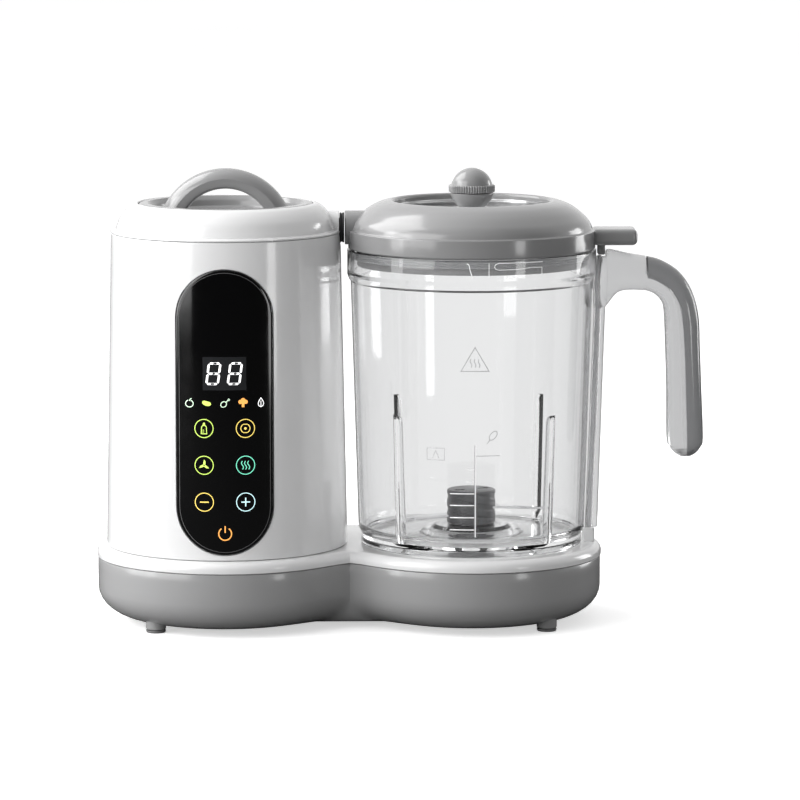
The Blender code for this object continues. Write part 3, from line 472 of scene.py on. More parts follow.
def glowing_print(name, rgb, power):
    """Glowing print: even colour with a slight unevenness of the glow. The panel's signs are back-lit; on the jug's
    white print the glow is painted light.
    """
    mat, nt, bsdf, co = shader(name)
    cloud = noise(nt, co, 420.0, 3.0)
    nt.links.new(two_tone(nt, cloud, scaled(rgb, 0.88), scaled(rgb, 1.0)), bsdf.inputs["Base Color"])
    nt.links.new(two_tone(nt, cloud, scaled(rgb, 0.86), scaled(rgb, 1.0)), bsdf.inputs["Emission Color"])
    bsdf.inputs["Emission Strength"].default_value = power
    nt.links.new(span(nt, noise(nt, co, 900.0), 0.3, 0.7, 0.25, 0.4), bsdf.inputs["Roughness"])
    return mat


def board(name):
    """Circuit board: solder mask over a fine grid of tracks."""
    mat, nt, bsdf, co = shader(name)
    mp = nt.nodes.new("ShaderNodeMapping")
    mp.inputs["Rotation"].default_value = (math.radians(90), 0, 0)
    nt.links.new(co, mp.inputs["Vector"])
    brick = nt.nodes.new("ShaderNodeTexBrick")
    brick.inputs["Color1"].default_value = (0.02, 0.14, 0.06, 1)
    brick.inputs["Color2"].default_value = (0.03, 0.19, 0.08, 1)
    brick.inputs["Mortar"].default_value = (0.08, 0.32, 0.14, 1)
    brick.inputs["Scale"].default_value = 210.0
    brick.inputs["Mortar Size"].default_value = 0.03
    nt.links.new(mp.outputs["Vector"], brick.inputs["Vector"])
    nt.links.new(brick.outputs["Color"], bsdf.inputs["Base Color"])
    nt.links.new(span(nt, noise(nt, co, 300.0), 0.3, 0.7, 0.25, 0.45), bsdf.inputs["Roughness"])
    bump(nt, bsdf, brick.outputs["Fac"], 0.3, 0.0001)
    return mat


def banded(name, a, b, scale, direction, metallic, rough, strength=0.5):
    """Windings or laminations: fine even bands."""
    mat, nt, bsdf, co = shader(name)
    wave = nt.nodes.new("ShaderNodeTexWave")
    wave.bands_direction = direction
    wave.inputs["Scale"].default_value = scale
    wave.inputs["Distortion"].default_value = 0.6
    wave.inputs["Detail"].default_value = 1.5
    nt.links.new(co, wave.inputs["Vector"])
    nt.links.new(two_tone(nt, wave.outputs["Fac"], a, b, 0.15, 0.85), bsdf.inputs["Base Color"])
    nt.links.new(span(nt, noise(nt, co, 400.0), 0.3, 0.7, rough - 0.08, rough + 0.08), bsdf.inputs["Roughness"])
    bump(nt, bsdf, wave.outputs["Fac"], strength, 0.0003)
    bsdf.inputs["Metallic"].default_value = metallic
    return mat


WHITE = plastic("white_gloss_abs", (0.8, 0.8, 0.803), 0.16, 0.03, 0.008, 0.02, 220.0, coat=0.35)
WHITE_CAP = plastic("white_gloss_cap", (0.80, 0.80, 0.803), 0.14, 0.03, 0.008, 0.02, 240.0, coat=0.35)
GREY = plastic("grey_gloss_abs", (0.265, 0.265, 0.267), 0.2, 0.03, 0.012, 0.012, 200.0, coat=0.45, coat_rough=0.09)
# painted shade: the lid's collar wears a darker copy of the grey that the lid wears
GREY_SKIRT_PAINTED_SHADE = plastic("grey_skirt_painted_shade", (0.19, 0.19, 0.192), 0.3, 0.03, 0.012, 0.012, 200.0, coat=0.2, coat_rough=0.2)
# painted light: the pan wears a lighter copy of the grey that the lid wears
GREY_PAN_PAINTED_LIGHT = plastic("grey_pan_painted_light", (0.34, 0.34, 0.342), 0.24, 0.03, 0.012, 0.012, 160.0, coat=0.5, coat_rough=0.12)
BLACK = plastic("panel_black_acrylic", (0.0012, 0.0012, 0.0014), 0.09, 0.03, 0.05, 0.01, 160.0, coat=0.3)
SMOKED = plastic("display_smoke", (0.022, 0.023, 0.025), 0.16, 0.03, 0.08, 0.01, 300.0)
BLACK_EDGE = plastic("panel_line", (0.11, 0.11, 0.112), 0.3, 0.05, 0.08, 0.0)
DARK = plastic("dark_nylon", (0.042, 0.042, 0.045), 0.34, 0.08, 0.08, 0.06, 420.0, grain=0.2)
DARK_FINE = plastic("interlock_plastic", (0.6, 0.6, 0.61), 0.3, 0.05, 0.03, 0.04, 420.0)
# the second colour of each clear material is its painted edge shade
CLEAR = clear("clear_copolyester", (0.935, 0.937, 0.939), (0.68, 0.685, 0.69), 0.22, 0.012,
              handle_shade_and_haze=(0.098, 0.114, (0.62, 0.62, 0.625), 0.2))
CLEAR_LID = clear("clear_window", (0.93, 0.935, 0.94), (0.5, 0.51, 0.52), 0.3, 0.05)
SMOKE = clear("smoke_grip", (0.31, 0.312, 0.318), (0.07, 0.072, 0.076), 0.4, 0.1, transmission=0.6)
STEEL = metal("stainless_brushed", (0.66, 0.66, 0.67), 0.26)
BLADE = metal("blade_steel", (0.72, 0.72, 0.73), 0.2, 0.06, (900.0, 120.0, 120.0), 0.1)
SCREW = metal("screw_steel", (0.55, 0.55, 0.56), 0.32, 0.08, (300.0, 300.0, 300.0), 0.2, 0.1)
ALU = metal("cast_aluminium", (0.6, 0.61, 0.62), 0.42, 0.1, (500.0, 500.0, 500.0), 0.5, 0.08)
RUBBER = rubber("black_rubber", (0.028, 0.028, 0.03))
FOOT = rubber("foot_rubber", (0.2, 0.2, 0.2))
SILICONE = rubber("grey_silicone", (0.25, 0.253, 0.257), 0.5, 0.15)
BOARD = board("circuit_board")
COPPER = banded("copper_winding", (0.35, 0.13, 0.04), (0.75, 0.36, 0.16), 380.0, "Z", 0.9, 0.34)
IRON = banded("laminated_iron", (0.12, 0.12, 0.13), (0.34, 0.34, 0.35), 500.0, "Z", 1.0, 0.45)
SEEN_WHITE = glowing_print("light_white", (1.0, 1.0, 1.0), 1.1)
SEEN_GREEN = glowing_print("light_green", (0.42, 0.86, 0.30), 0.9)
SEEN_LIME = glowing_print("light_lime", (0.62, 0.85, 0.16), 0.9)
SEEN_YELLOW = glowing_print("light_yellow", (0.92, 0.70, 0.16), 0.9)
SEEN_ORANGE = glowing_print("light_orange", (0.95, 0.42, 0.10), 0.9)
SEEN_TEAL = glowing_print("light_teal", (0.20, 0.80, 0.55), 0.9)
SEEN_PALE = glowing_print("light_pale", (0.72, 0.95, 0.72), 0.9)
SEEN_AQUA = glowing_print("light_aqua", (0.62, 0.92, 0.95), 0.9)
PRINT = plastic("grey_print", (0.55, 0.55, 0.56), 0.4, 0.08, 0.05, 0.05)
# painted light: the jug's white print is not back-lit, and its glow makes it read brighter
PRINT_WHITE_PAINTED_GLOW = glowing_print("white_print_painted_glow", (0.95, 0.95, 0.955), 0.25)

# ------------------------------------------------------------------ base

def soft_max(a, b, k):
    h = max(k - abs(a - b), 0.0) / k
    return max(a, b) + h * h * k / 4.0


def half_depth(x, r, web, blend=WAIST_BLEND):
    best = None
    for centre in (XT, XJ):
        d = abs(x - centre)
        h = math.sqrt(max(r * r - d * d, 0.0)) if d < r else -(d - r)
        best = h if best is None else soft_max(best, h, 0.001)
    return soft_max(best, web, blend)


def outline(r, front, back, step=3.0, across=64):
    half = int(round(180.0 / step))
    pts = []
    for i in range(half + 1):
        a = math.radians(-90.0 + 180.0 * i / half)
        pts.append((XJ + r * math.cos(a), r * math.sin(a)))
    xs = [lerp(XJ, XT, i / across) for i in range(1, across)]
    pts += [(x, half_depth(x, r, back, WAIST_BLEND_BACK)) for x in xs]
    for i in range(half + 1):
        a = math.radians(90.0 + 180.0 * i / half)
        pts.append((XT + r * math.cos(a), r * math.sin(a)))
    pts += [(x, -half_depth(x, r, front)) for x in reversed(xs)]
    return pts


def pan_factor(z):
    if z >= PAN_TURN_Z:
        return 1.0
    q = (PAN_TURN_Z - z) / (PAN_TURN_Z - PAN_BOTTOM_Z)
    return math.sqrt(max(1.0 - q * q, 0.0))


def pan_level(z, inset=0.0, at=None, trim=0.0):
    f = pan_factor(z if at is None else at)
    return [(x, y, z) for x, y in outline(
        lerp(PAN_BOTTOM_R, PAN_R, f) - inset - trim,
        lerp(WAIST_FRONT_LOW, WAIST_FRONT, f) - inset - trim,
        lerp(WAIST_BACK_LOW, WAIST_BACK, f) - inset - trim)]


def deck_level(z, inset):
    return [(x, y, z) for x, y in outline(
        DECK_R - inset, WAIST_FRONT + 0.5 - inset, WAIST_BACK + 0.5 - inset)]


angles = [0, 7, 14, 21, 29, 38, 48, 58, 69, 80, 90]
levels = [PAN_TURN_Z - (PAN_TURN_Z - PAN_BOTTOM_Z) * math.cos(math.radians(a)) for a in angles]
rings = [pan_level(z) for z in levels]
rings += [pan_level(z) for z in (25.0, 31.0, 36.4)] + [pan_level(36.8, trim=0.15), pan_level(37.0, trim=0.5)]
inner_z = [37.0, 28.0, 20.0, 14.0, 9.5, 6.6, 5.6]
rings += [pan_level(z, PAN_WALL, at=max(z - PAN_WALL * (1 - pan_factor(z)), 3.05)) for z in inner_z]
bm = bmesh.new()
skin(bm, rings)
bosses = gathered([turned([(0, 1.8), (5.1, 1.8), (5.6, 2.3), (5.6, 9.0), (0, 9.0)], 48, fx, fy)
                   for fx in FOOT_X for fy in (FOOT_Y, -FOOT_Y)])
seat = turned([(0, 4.2), (10.8, 4.2), (10.8, 12.8), (8.4, 12.8), (8.4, 8.3), (0, 8.3)], 64, XJ)
post = turned([(0, 13.0), (3.2, 13.0), (3.2, 19.6), (0, 19.6)], 32, ROD_X0)
pockets = gathered(
    [turned([(0, 1.0), (4.5, 1.0), (4.5, 4.0), (0, 4.0)], 40, fx, fy, phase=0.05)
     for fx in FOOT_X for fy in (FOOT_Y, -FOOT_Y)]
    + [turned([(0, 2.0), (3.9, 2.0), (3.9, 4.4), (1.9, 4.4), (1.9, 12.0), (0, 12.0)], 40, sx, sy, phase=0.05)
       for sx, sy in SCREW_POS]
    # slots that let air in under the motor, and out beside it
    + [block(XT + dx - 0.9, XT + dx + 0.9, -13.0 + abs(dx) * 0.25, 13.0 - abs(dx) * 0.25, 1.0, 12.0, 0.6, 2)
       for dx in range(-24, 25, 6)])
gland_hole = turned([(0, 50.0), (6.5, 50.0), (6.5, 70.0), (0, 70.0)], 48, XM, GLAND_Z, axis="Y", phase=0.03)
piece("pan", bm, GREY_PAN_PAINTED_LIGHT, "base", "base_pan", slot="grey_gloss", angle=28,
      tools=[("UNION", bosses), ("UNION", seat), ("UNION", post), ("DIFFERENCE", pockets), ("DIFFERENCE", gland_hole)])

shoulder = []
for a in (0, 9, 18, 27, 36, 45, 54, 63, 72, 81, 90):
    t = math.radians(a)
    shoulder.append((39.2 + 4.5 * math.sin(t), 4.5 * (1 - math.cos(t))))
rings = [deck_level(40.4, 5.4), deck_level(34.2, 5.4), deck_level(34.2, 3.6), deck_level(37.3, 3.3),
         deck_level(37.3, 0.35), deck_level(37.6, 0.0), deck_level(38.4, 0.0)]
rings += [deck_level(z, i) for z, i in shoulder]
bm = bmesh.new()
skin(bm, rings)
under = gathered(
    [block(102.5, 109.2, -4.6, 4.6, 41.5, 51.6, 1.0, 4),
     turned([(0, 42.0), (14.2, 42.0), (14.2, 30.0), (0, 30.0)], 64, XJ)]
    + [turned([(0, 42.0), (4.2, 42.0), (4.2, 6.8), (0, 6.8)], 32, sx, sy) for sx, sy in SCREW_POS])
holes = gathered(
    [turned([(0, 29.0), (11.3, 29.0), (11.3, 40.3), (9.6, 40.3), (9.6, 43.2), (10.3, 43.9), (10.3, 45.0), (0, 45.0)], 96, XJ),
     turned([(0, 40.0), (38.0, 40.0), (38.0, 45.0), (0, 45.0)], 96, XT),
     turned([(0, 27.0), (2.0, 27.0), (2.0, 53.0), (0, 53.0)], 32, ROD_X0)]
    + [turned([(0, 5.0), (1.9, 5.0), (1.9, 24.0), (0, 24.0)], 24, sx, sy) for sx, sy in SCREW_POS])
piece("deck", bm, WHITE, "base", "base_deck", slot="white_gloss", angle=28,
      tools=[("UNION", under), ("DIFFERENCE", holes)])

for i, (fx, fy) in enumerate([(x, y) for x in FOOT_X for y in (FOOT_Y, -FOOT_Y)]):
    piece("rubber_foot_%d" % (i + 1), lathe(
        [(0, 0.35), (2.2, 0.35, 0.2), (2.6, 0.0, 0.3), (5.3, 0.0, 0.5), (5.6, 1.5, 0.2), (4.0, 1.5), (4.0, 3.6, 0.3),
         (0, 3.6)], 64, fx, fy), FOOT, "base", "foot_%d" % (i + 1), slot="black_rubber")
for i, (sx, sy) in enumerate(SCREW_POS):
    head = lathe([(0, 2.5), (2.3, 2.55, 0.3), (3.3, 3.0, 0.3), (3.3, 4.1, 0.2), (1.4, 4.1), (1.4, 19.6), (0.3, 21.5),
                  (0, 21.5)], 48, sx, sy)
    cross = cross_recess(sx, sy, 1.7, 0.35, 2.2, 3.5)
    piece("base_screw_%d" % (i + 1), head, SCREW, "base", "pan_screw_%d" % (i + 1), slot="stainless",
          tools=[("DIFFERENCE", cross)])
piece("gland", lathe([(3.6, 56.6, 0.3), (6.9, 56.6, 0.4), (6.9, 58.1, 0.3), (6.0, 58.1), (6.0, 61.4),
                      (8.4, 61.4, 0.5), (8.4, 63.8, 0.7), (6.9, 64.6, 0.4), (6.7, 66.4, 0.3), (7.3, 66.7, 0.3),
                      (7.1, 68.0, 0.3), (6.2, 68.2, 0.3), (6.0, 69.4, 0.3), (6.5, 69.7, 0.3), (6.3, 70.9, 0.3),
                      (5.4, 71.2, 0.3), (5.2, 72.4, 0.5), (3.6, 72.4, 0.4)],
                     64, XM, GLAND_Z, axis="Y"), RUBBER, "base", "cord_gland", slot="black_rubber")

# ------------------------------------------------------------------ tower

def edge_gap(x, z, half_w, z0, z1):
    """Distance from (x, z) inwards to the edge of an upright stadium."""
    zc = min(max(z, z0 + half_w), z1 - half_w)
    return half_w - math.hypot(x, z - zc)


def stadium_plate(half_w, z0, z1, r_in, r_out, soft=0.5, rows=16, cols=30):
    """Plate with round ends wrapped on the tower's front, its outer edge rounded by `soft`."""
    zs = [z0 + half_w * (1 - math.cos(math.radians(90.0 * i / rows))) for i in range(rows + 1)]
    mid = 10
    zs += [lerp(z0 + half_w, z1 - half_w, i / mid) for i in range(1, mid)]
    zs += [z1 - half_w * (1 - math.cos(math.radians(90.0 * (rows - i) / rows))) for i in range(rows + 1)]

    def width(z):
        d = max(z0 + half_w - z, z - (z1 - half_w), 0.0)
        return max(math.sqrt(max(half_w * half_w - d * d, 0.0)), 1.2)

    bm = bmesh.new()
    sides = []
    for which, off in (("out", r_out), ("in", r_in)):
        grid = []
        for z in zs:
            w = width(z)
            row = []
            for j in range(cols + 1):
                x = w * math.sin(math.radians(90.0 * (2.0 * j / cols - 1.0)))
                o = off
                if which == "out" and soft:
                    e = min(max(edge_gap(x, z, half_w, z0, z1), 0.0), soft) / soft
                    o = off - soft * 0.8 * (1 - math.sqrt(max(1 - (1 - e) ** 2, 0.0)))
                r = tower_r(z) + o
                row.append(bm.verts.new((XT + x, -math.sqrt(r * r - x * x), z)))
            grid.append(row)
        sides.append(grid)
    n, m = len(zs) - 1, cols
    for k, grid in enumerate(sides):
        for i in range(n):
            for j in range(m):
                quad = (grid[i][j], grid[i][j + 1], grid[i + 1][j + 1], grid[i + 1][j])
                bm.faces.new(quad if k == 0 else tuple(reversed(quad)))
    a, b = sides
    for i in range(n):
        bm.faces.new((a[i][0], a[i + 1][0], b[i + 1][0], b[i][0]))
        bm.faces.new((a[i + 1][m], a[i][m], b[i][m], b[i + 1][m]))
    for j in range(m):
        bm.faces.new((a[0][j + 1], a[0][j], b[0][j], b[0][j + 1]))
        bm.faces.new((a[n][j], a[n][j + 1], b[n][j + 1], b[n][j]))
    return bm


pocket = stadium_plate(PANEL_HALF_W + 0.4, PANEL_Z0 - 0.4, PANEL_Z1 + 0.4, -1.3, 4.0, soft=0)
window = block(XT - 14, XT + 14, -70, -50, 136, 158.6, 1.5, 3)
notch = turned([(0, -60), (DUCT_R + 0.5, -60), (DUCT_R + 0.5, -20), (0, -20)], 64, 0, DUCT_Z, axis="X", phase=0.03)
piece("tower", lathe([(TOWER_R0, TOWER_Z0, 0.5), (TOWER_R1, TOWER_Z1, 0.6), (TOWER_R1 - TOWER_WALL, TOWER_Z1, 0.4),
                      (TOWER_R0 - TOWER_WALL, TOWER_Z0, 0.3)], SIDES, XT), WHITE, "base", "tower_shell",
      slot="white_gloss", angle=28, tools=[("DIFFERENCE", pocket), ("DIFFERENCE", window), ("DIFFERENCE", notch)])

dome = smooth([(61.2, 220.4), (60.6, 222.4), (58.8, 226.8), (56.9, 229.6), (54.6, 232.0), (51.9, 234.0), (49.9, 234.8)], 5)
cap_profile = ([(60.7, 211.0, 0.3), (60.7, 218.7), (64.0, 218.7, 0.25), (64.0, 219.7, 0.4), (61.6, 220.1, 0.3)] + dome
               + [(49.2, 234.9, 0.3), (48.8, 234.5, 0.2), (48.8, 231.5), (46.7, 231.5, 0.3), (46.7, 226.8), (49.6, 226.8),
                  (52.4, 229.8, 1.0), (57.4, 222.6, 3.0), (58.2, 211.0)])
boss = lathe([(0, -39.6), (DUCT_R, -39.6), (DUCT_R, -34.0, 0.5), (0, -34.0)], 64, 0, DUCT_Z, axis="X", phase=0.03)
bore = turned([(0, -46.0), (5.8, -46.0), (5.8, -34.08), (9.2, -34.08), (9.2, -28.0), (0, -28.0)], 64, 0, DUCT_Z,
              axis="X", phase=0.05)
piece("cap", lathe(cap_profile, SIDES, XT), WHITE_CAP, "base", "tower_cap", slot="white_gloss", angle=28,
      tools=[("UNION", boss), ("DIFFERENCE", bore)])

piece("touch_panel", stadium_plate(PANEL_HALF_W, PANEL_Z0, PANEL_Z1, -0.9, 0.6, 0.9), BLACK, "base", "control_panel",
      slot="panel_black", angle=40)


def on_tower(x, z, off):
    r = tower_r(z) + off
    return (XT + x, -math.sqrt(r * r - x * x), z)


def on_jug(x, z, off):
    r = jug_r(z) + off
    return (XJ + x, -math.sqrt(r * r - x * x), z)


def stroke(points, width, closed=False, low=0.45, high=0.66, onto=on_tower):
    """A raised line of even width along (x, z) points."""
    n = len(points)
    sides = []
    for i in range(n):
        a = points[i - 1] if (closed or i > 0) else points[i]
        b = points[(i + 1) % n] if (closed or i < n - 1) else points[i]
        prev = (points[i][0] - a[0], points[i][1] - a[1])
        nxt = (b[0] - points[i][0], b[1] - points[i][1])
        lp, ln = math.hypot(*prev) or 1.0, math.hypot(*nxt) or 1.0
        d = (prev[0] / lp + nxt[0] / ln, prev[1] / lp + nxt[1] / ln)
        ld = math.hypot(*d) or 1.0
        nx, nz = -d[1] / ld, d[0] / ld
        k = width / 2 / max(0.45, abs(ld) / 2 if (closed or 0 < i < n - 1) else 1.0)
        sides.append(((points[i][0] + nx * k, points[i][1] + nz * k), (points[i][0] - nx * k, points[i][1] - nz * k)))
    bm = bmesh.new()
    rings = [[onto(*l, high), onto(*l, low), onto(*r, low), onto(*r, high)] for l, r in sides]
    skin(bm, rings, loop=closed)
    return bm


def patch(points, low=0.45, high=0.66, onto=on_tower):
    bm = bmesh.new()
    skin(bm, [[onto(x, z, low) for x, z in points], [onto(x, z, high) for x, z in points]])
    return bm


def oval(cx, cz, rx, rz=None, turn=0.0, n=28, a0=0.0, a1=360.0):
    rz = rx if rz is None else rz
    c, s = math.cos(math.radians(turn)), math.sin(math.radians(turn))
    whole = abs(a1 - a0) >= 359.9
    pts = []
    for i in range(n if whole else n + 1):
        t = math.radians(lerp(a0, a1, i / n))
        x, z = rx * math.cos(t), rz * math.sin(t)
        pts.append((cx + x * c - z * s, cz + x * s + z * c))
    return pts


def stadium_line(inset, n=24):
    h = PANEL_HALF_W - inset
    zt, zb = PANEL_Z1 - inset - h, PANEL_Z0 + inset + h
    pts = [(h * math.cos(math.pi * i / n), zt + h * math.sin(math.pi * i / n)) for i in range(n + 1)]
    pts += [(h, 0)] * 0
    side = [(-h, lerp(zt, zb, i / 12)) for i in range(1, 12)]
    pts += side
    pts += [(h * math.cos(math.pi + math.pi * i / n), zb + h * math.sin(math.pi + math.pi * i / n)) for i in range(n + 1)]
    pts += [(h, lerp(zb, zt, i / 12)) for i in range(1, 12)]
    return pts


def sign(name, mat, parts, body="base"):
    return piece(name, gathered(parts), mat, body, angle=40)


sign("panel_rim_line", BLACK_EDGE, [stroke(stadium_line(1.7), 0.3, True, 0.5, 0.63)])

# display window, and two digits of seven slanted bars each
WX, WZ0, WZ1 = 11.85, 138.0, 156.2


def round_box(x0, x1, z0, z1, r, n=6):
    pts = []
    for cx, cz, a in ((x1 - r, z1 - r, 0), (x0 + r, z1 - r, 90), (x0 + r, z0 + r, 180), (x1 - r, z0 + r, 270)):
        for i in range(n + 1):
            t = math.radians(a + 90.0 * i / n)
            pts.append((cx + r * math.cos(t), cz + r * math.sin(t)))
    return pts


def curved_plate(x0, x1, z0, z1, low, high, cols=16):
    bm = bmesh.new()
    grids = []
    for off in (high, low):
        grids.append([[bm.verts.new(on_tower(lerp(x0, x1, j / cols), z, off)) for j in range(cols + 1)] for z in (z0, z1)])
    t, b = grids
    for j in range(cols):
        bm.faces.new((t[0][j], t[0][j + 1], t[1][j + 1], t[1][j]))
        bm.faces.new((b[0][j + 1], b[0][j], b[1][j], b[1][j + 1]))
        bm.faces.new((t[0][j + 1], t[0][j], b[0][j], b[0][j + 1]))
        bm.faces.new((t[1][j], t[1][j + 1], b[1][j + 1], b[1][j]))
    bm.faces.new((t[0][0], t[1][0], b[1][0], b[0][0]))
    bm.faces.new((t[1][cols], t[0][cols], b[0][cols], b[1][cols]))
    return bm


sign("display_window", SMOKED, [curved_plate(-WX, WX, WZ0, WZ1, 0.3, 0.63)])


def digit(cx, zc, w=7.4, h=12.4, t=1.15, slant=0.13):
    z0, z1, zm = zc - h / 2, zc + h / 2, zc
    g = 0.28
    bars = []

    def bar(ax, az, bx, bz):
        dx, dz = bx - ax, bz - az
        length = math.hypot(dx, dz)
        ux, uz = dx / length, dz / length
        nx, nz = -uz, ux
        k = t / 2
        pts = [(ax, az), (ax + ux * k + nx * k, az + uz * k + nz * k), (bx - ux * k + nx * k, bz - uz * k + nz * k),
               (bx, bz), (bx - ux * k - nx * k, bz - uz * k - nz * k), (ax + ux * k - nx * k, az + uz * k - nz * k)]
        bars.append([(x + (z - zc) * slant, z) for x, z in pts])

    xl, xr = cx - w / 2 + t / 2, cx + w / 2 - t / 2
    zt, zb = z1 - t / 2, z0 + t / 2
    for z in (zb, zm, zt):
        bar(xl + g, z, xr - g, z)
    for x in (xl, xr):
        bar(x, zb + g, x, zm - g)
        bar(x, zm + g, x, zt - g)
    return [patch(b, 0.4, 0.67) for b in bars]


sign("display_digits", SEEN_WHITE, digit(-6.0, 147.1) + digit(5.7, 147.1))

IZ = 130.9
sign("icon_apple", SEEN_PALE, [stroke(oval(-19.2, IZ - 0.4, 2.1, 1.9, 0, 26, -250, 70), 0.42),
                               stroke([(-19.2, IZ + 1.0), (-18.9, IZ + 1.9), (-18.0, IZ + 2.5)], 0.42)])
bean = []
for i in range(30):
    t = 2 * math.pi * i / 30
    r = 1.0 - 0.32 * math.exp(-((t - 1.57) / 0.5) ** 2)
    x, z = 2.5 * r * math.cos(t), 1.45 * r * math.sin(t)
    bean.append((-9.8 + x * 0.96 + z * 0.26, IZ + z * 0.96 - x * 0.26))
sign("icon_bean", SEEN_LIME, [patch(bean)])
sign("icon_drumstick", SEEN_PALE, [stroke(oval(-0.5, IZ - 0.6, 1.7, 1.4, 40, 24), 0.4, True),
                                   stroke([(0.7, IZ + 0.5), (2.0, IZ + 1.7)], 0.42),
                                   stroke(oval(2.3, IZ + 1.9, 0.45, n=14), 0.3, True)])
sign("icon_floret", SEEN_ORANGE, [patch(oval(8.7, IZ + 0.7, 1.15, n=20)), patch(oval(11.5, IZ + 0.7, 1.15, n=20)),
                                  patch(oval(10.1, IZ + 1.5, 1.3, n=20), 0.45, 0.64),
                                  patch([(9.4, IZ - 2.2), (10.8, IZ - 2.2), (10.8, IZ + 0.6), (9.4, IZ + 0.6)], 0.45, 0.65)])
drop = [(19.8, IZ + 2.6), (20.9, IZ + 0.9), (21.3, IZ - 0.5), (20.9, IZ - 1.7), (19.8, IZ - 2.3), (18.7, IZ - 1.7),
        (18.3, IZ - 0.5), (18.7, IZ + 0.9)]
sign("icon_leaf", SEEN_WHITE, [stroke(drop, 0.38, True), stroke([(19.8, IZ - 1.9), (19.8, IZ + 1.0)], 0.36)])


def button(name, mat, cx, cz, parts):
    sign("key_" + name, mat, [stroke(oval(cx, cz, 5.0, n=44), 0.42, True)] + parts)


L, R = -11.3, 11.3
z = 117.0
button("bottle", SEEN_LIME, L, z, [
    stroke([(L - 1.3, z + 0.8), (L - 1.5, z - 2.9), (L + 1.5, z - 2.9), (L + 1.3, z + 0.8), (L + 0.7, z + 1.7),
            (L - 0.7, z + 1.7)], 0.42, True),
    patch([(L - 0.75, z + 2.1), (L + 0.75, z + 2.1), (L + 0.35, z + 3.2), (L - 0.35, z + 3.2)]),
    stroke([(L - 0.9, z - 0.9), (L + 0.1, z - 0.9)], 0.36), stroke([(L - 0.9, z - 1.9), (L + 0.1, z - 1.9)], 0.36)])
button("program", SEEN_YELLOW, R, z, [
    stroke(oval(R, z, 2.5, n=30, a0=-60, a1=60), 0.42), stroke(oval(R, z, 2.5, n=30, a0=120, a1=240), 0.42),
    stroke([(R - 1.2, z + 2.3), (R + 1.2, z + 2.3)], 0.4), stroke([(R - 1.2, z - 2.3), (R + 1.2, z - 2.3)], 0.4),
    patch(oval(R, z, 0.7, n=18))])
z = 96.8
blades_icon = []
for k in range(3):
    a = math.radians(90 + 120 * k)
    blades_icon.append(patch([(L + 0.7 * math.cos(a - 1.2), z + 0.7 * math.sin(a - 1.2)),
                              (L + 2.2 * math.cos(a - 0.35), z + 2.2 * math.sin(a - 0.35)),
                              (L + 3.2 * math.cos(a), z + 3.2 * math.sin(a)),
                              (L + 1.4 * math.cos(a + 0.35), z + 1.4 * math.sin(a + 0.35)),
                              (L + 0.6 * math.cos(a + 0.9), z + 0.6 * math.sin(a + 0.9))], 0.45, 0.65 + 0.004 * k))
button("blend", SEEN_LIME, L, z, blades_icon)
waves = []
for dx in (-1.7, 0.0, 1.7):
    waves.append(stroke([(R + dx + 0.55 * math.sin(i / 12 * 2 * math.pi), z - 2.3 + 4.6 * i / 12) for i in range(13)], 0.42))
button("steam", SEEN_TEAL, R, z, waves)
z = 76.5
button("minus", SEEN_YELLOW, L, z, [stroke([(L - 2.4, z), (L + 2.4, z)], 0.62)])
button("plus", SEEN_AQUA, R, z, [stroke([(R - 2.4, z), (R + 2.4, z)], 0.6, False, 0.45, 0.655),
                                 stroke([(R, z - 2.4), (R, z + 2.4)], 0.6)])
z = 59.1
sign("key_power", SEEN_ORANGE, [stroke(oval(0.0, z, 3.5, n=40, a0=-235, a1=55), 0.62),
                                stroke([(0.0, z + 0.6), (0.0, z + 4.3)], 0.66)])

# ------------------------------------------------------------------ tank lid and cup

piece("cup", lathe([(0, 146.0), (43.2, 146.0, 3.0), (46.2, 149.6, 3.0), (46.2, 231.8, 0.4), (48.4, 231.8, 0.2),
                    (48.4, 232.6, 0.3), (45.4, 232.6, 0.8), (45.4, 150.0, 3.0), (42.6, 147.0, 2.0), (30.0, 147.0),
                    (29.0, 147.5, 0.5), (27.0, 147.5, 0.5), (26.0, 147.0, 0.5), (0, 147.0)], SIDES, XT),
      STEEL, "base", "steam_cup", slot="stainless",
      tools=[("DIFFERENCE", turned([(0, -56.0), (5.8, -56.0), (5.8, -46.0), (0, -46.0)], 48, 0, DUCT_Z, axis="X",
                                   phase=0.03))])
piece("duct_seal", lathe([(4.4, -41.0, 0.2), (5.4, -41.0, 0.2), (5.4, -33.7), (8.0, -33.7, 0.3), (8.4, -33.3, 0.3),
                          (8.4, -32.9, 0.2), (7.9, -32.6, 0.2), (7.9, -32.3, 0.2), (8.4, -32.0, 0.2),
                          (8.4, -31.1, 0.4), (5.6, -31.1, 0.3), (4.4, -31.9, 0.3)], 72, 0, DUCT_Z, axis="X"),
      RUBBER, "base", "nozzle_seal", slot="black_rubber")
piece("duct_pipe", lathe([(3.9, -52.2, 0.3), (5.4, -52.2, 0.3), (5.4, -41.4, 0.3), (3.9, -41.4, 0.3)], 64, 0, DUCT_Z,
                         axis="X"), SILICONE, "base", "steam_pipe", slot="silicone")

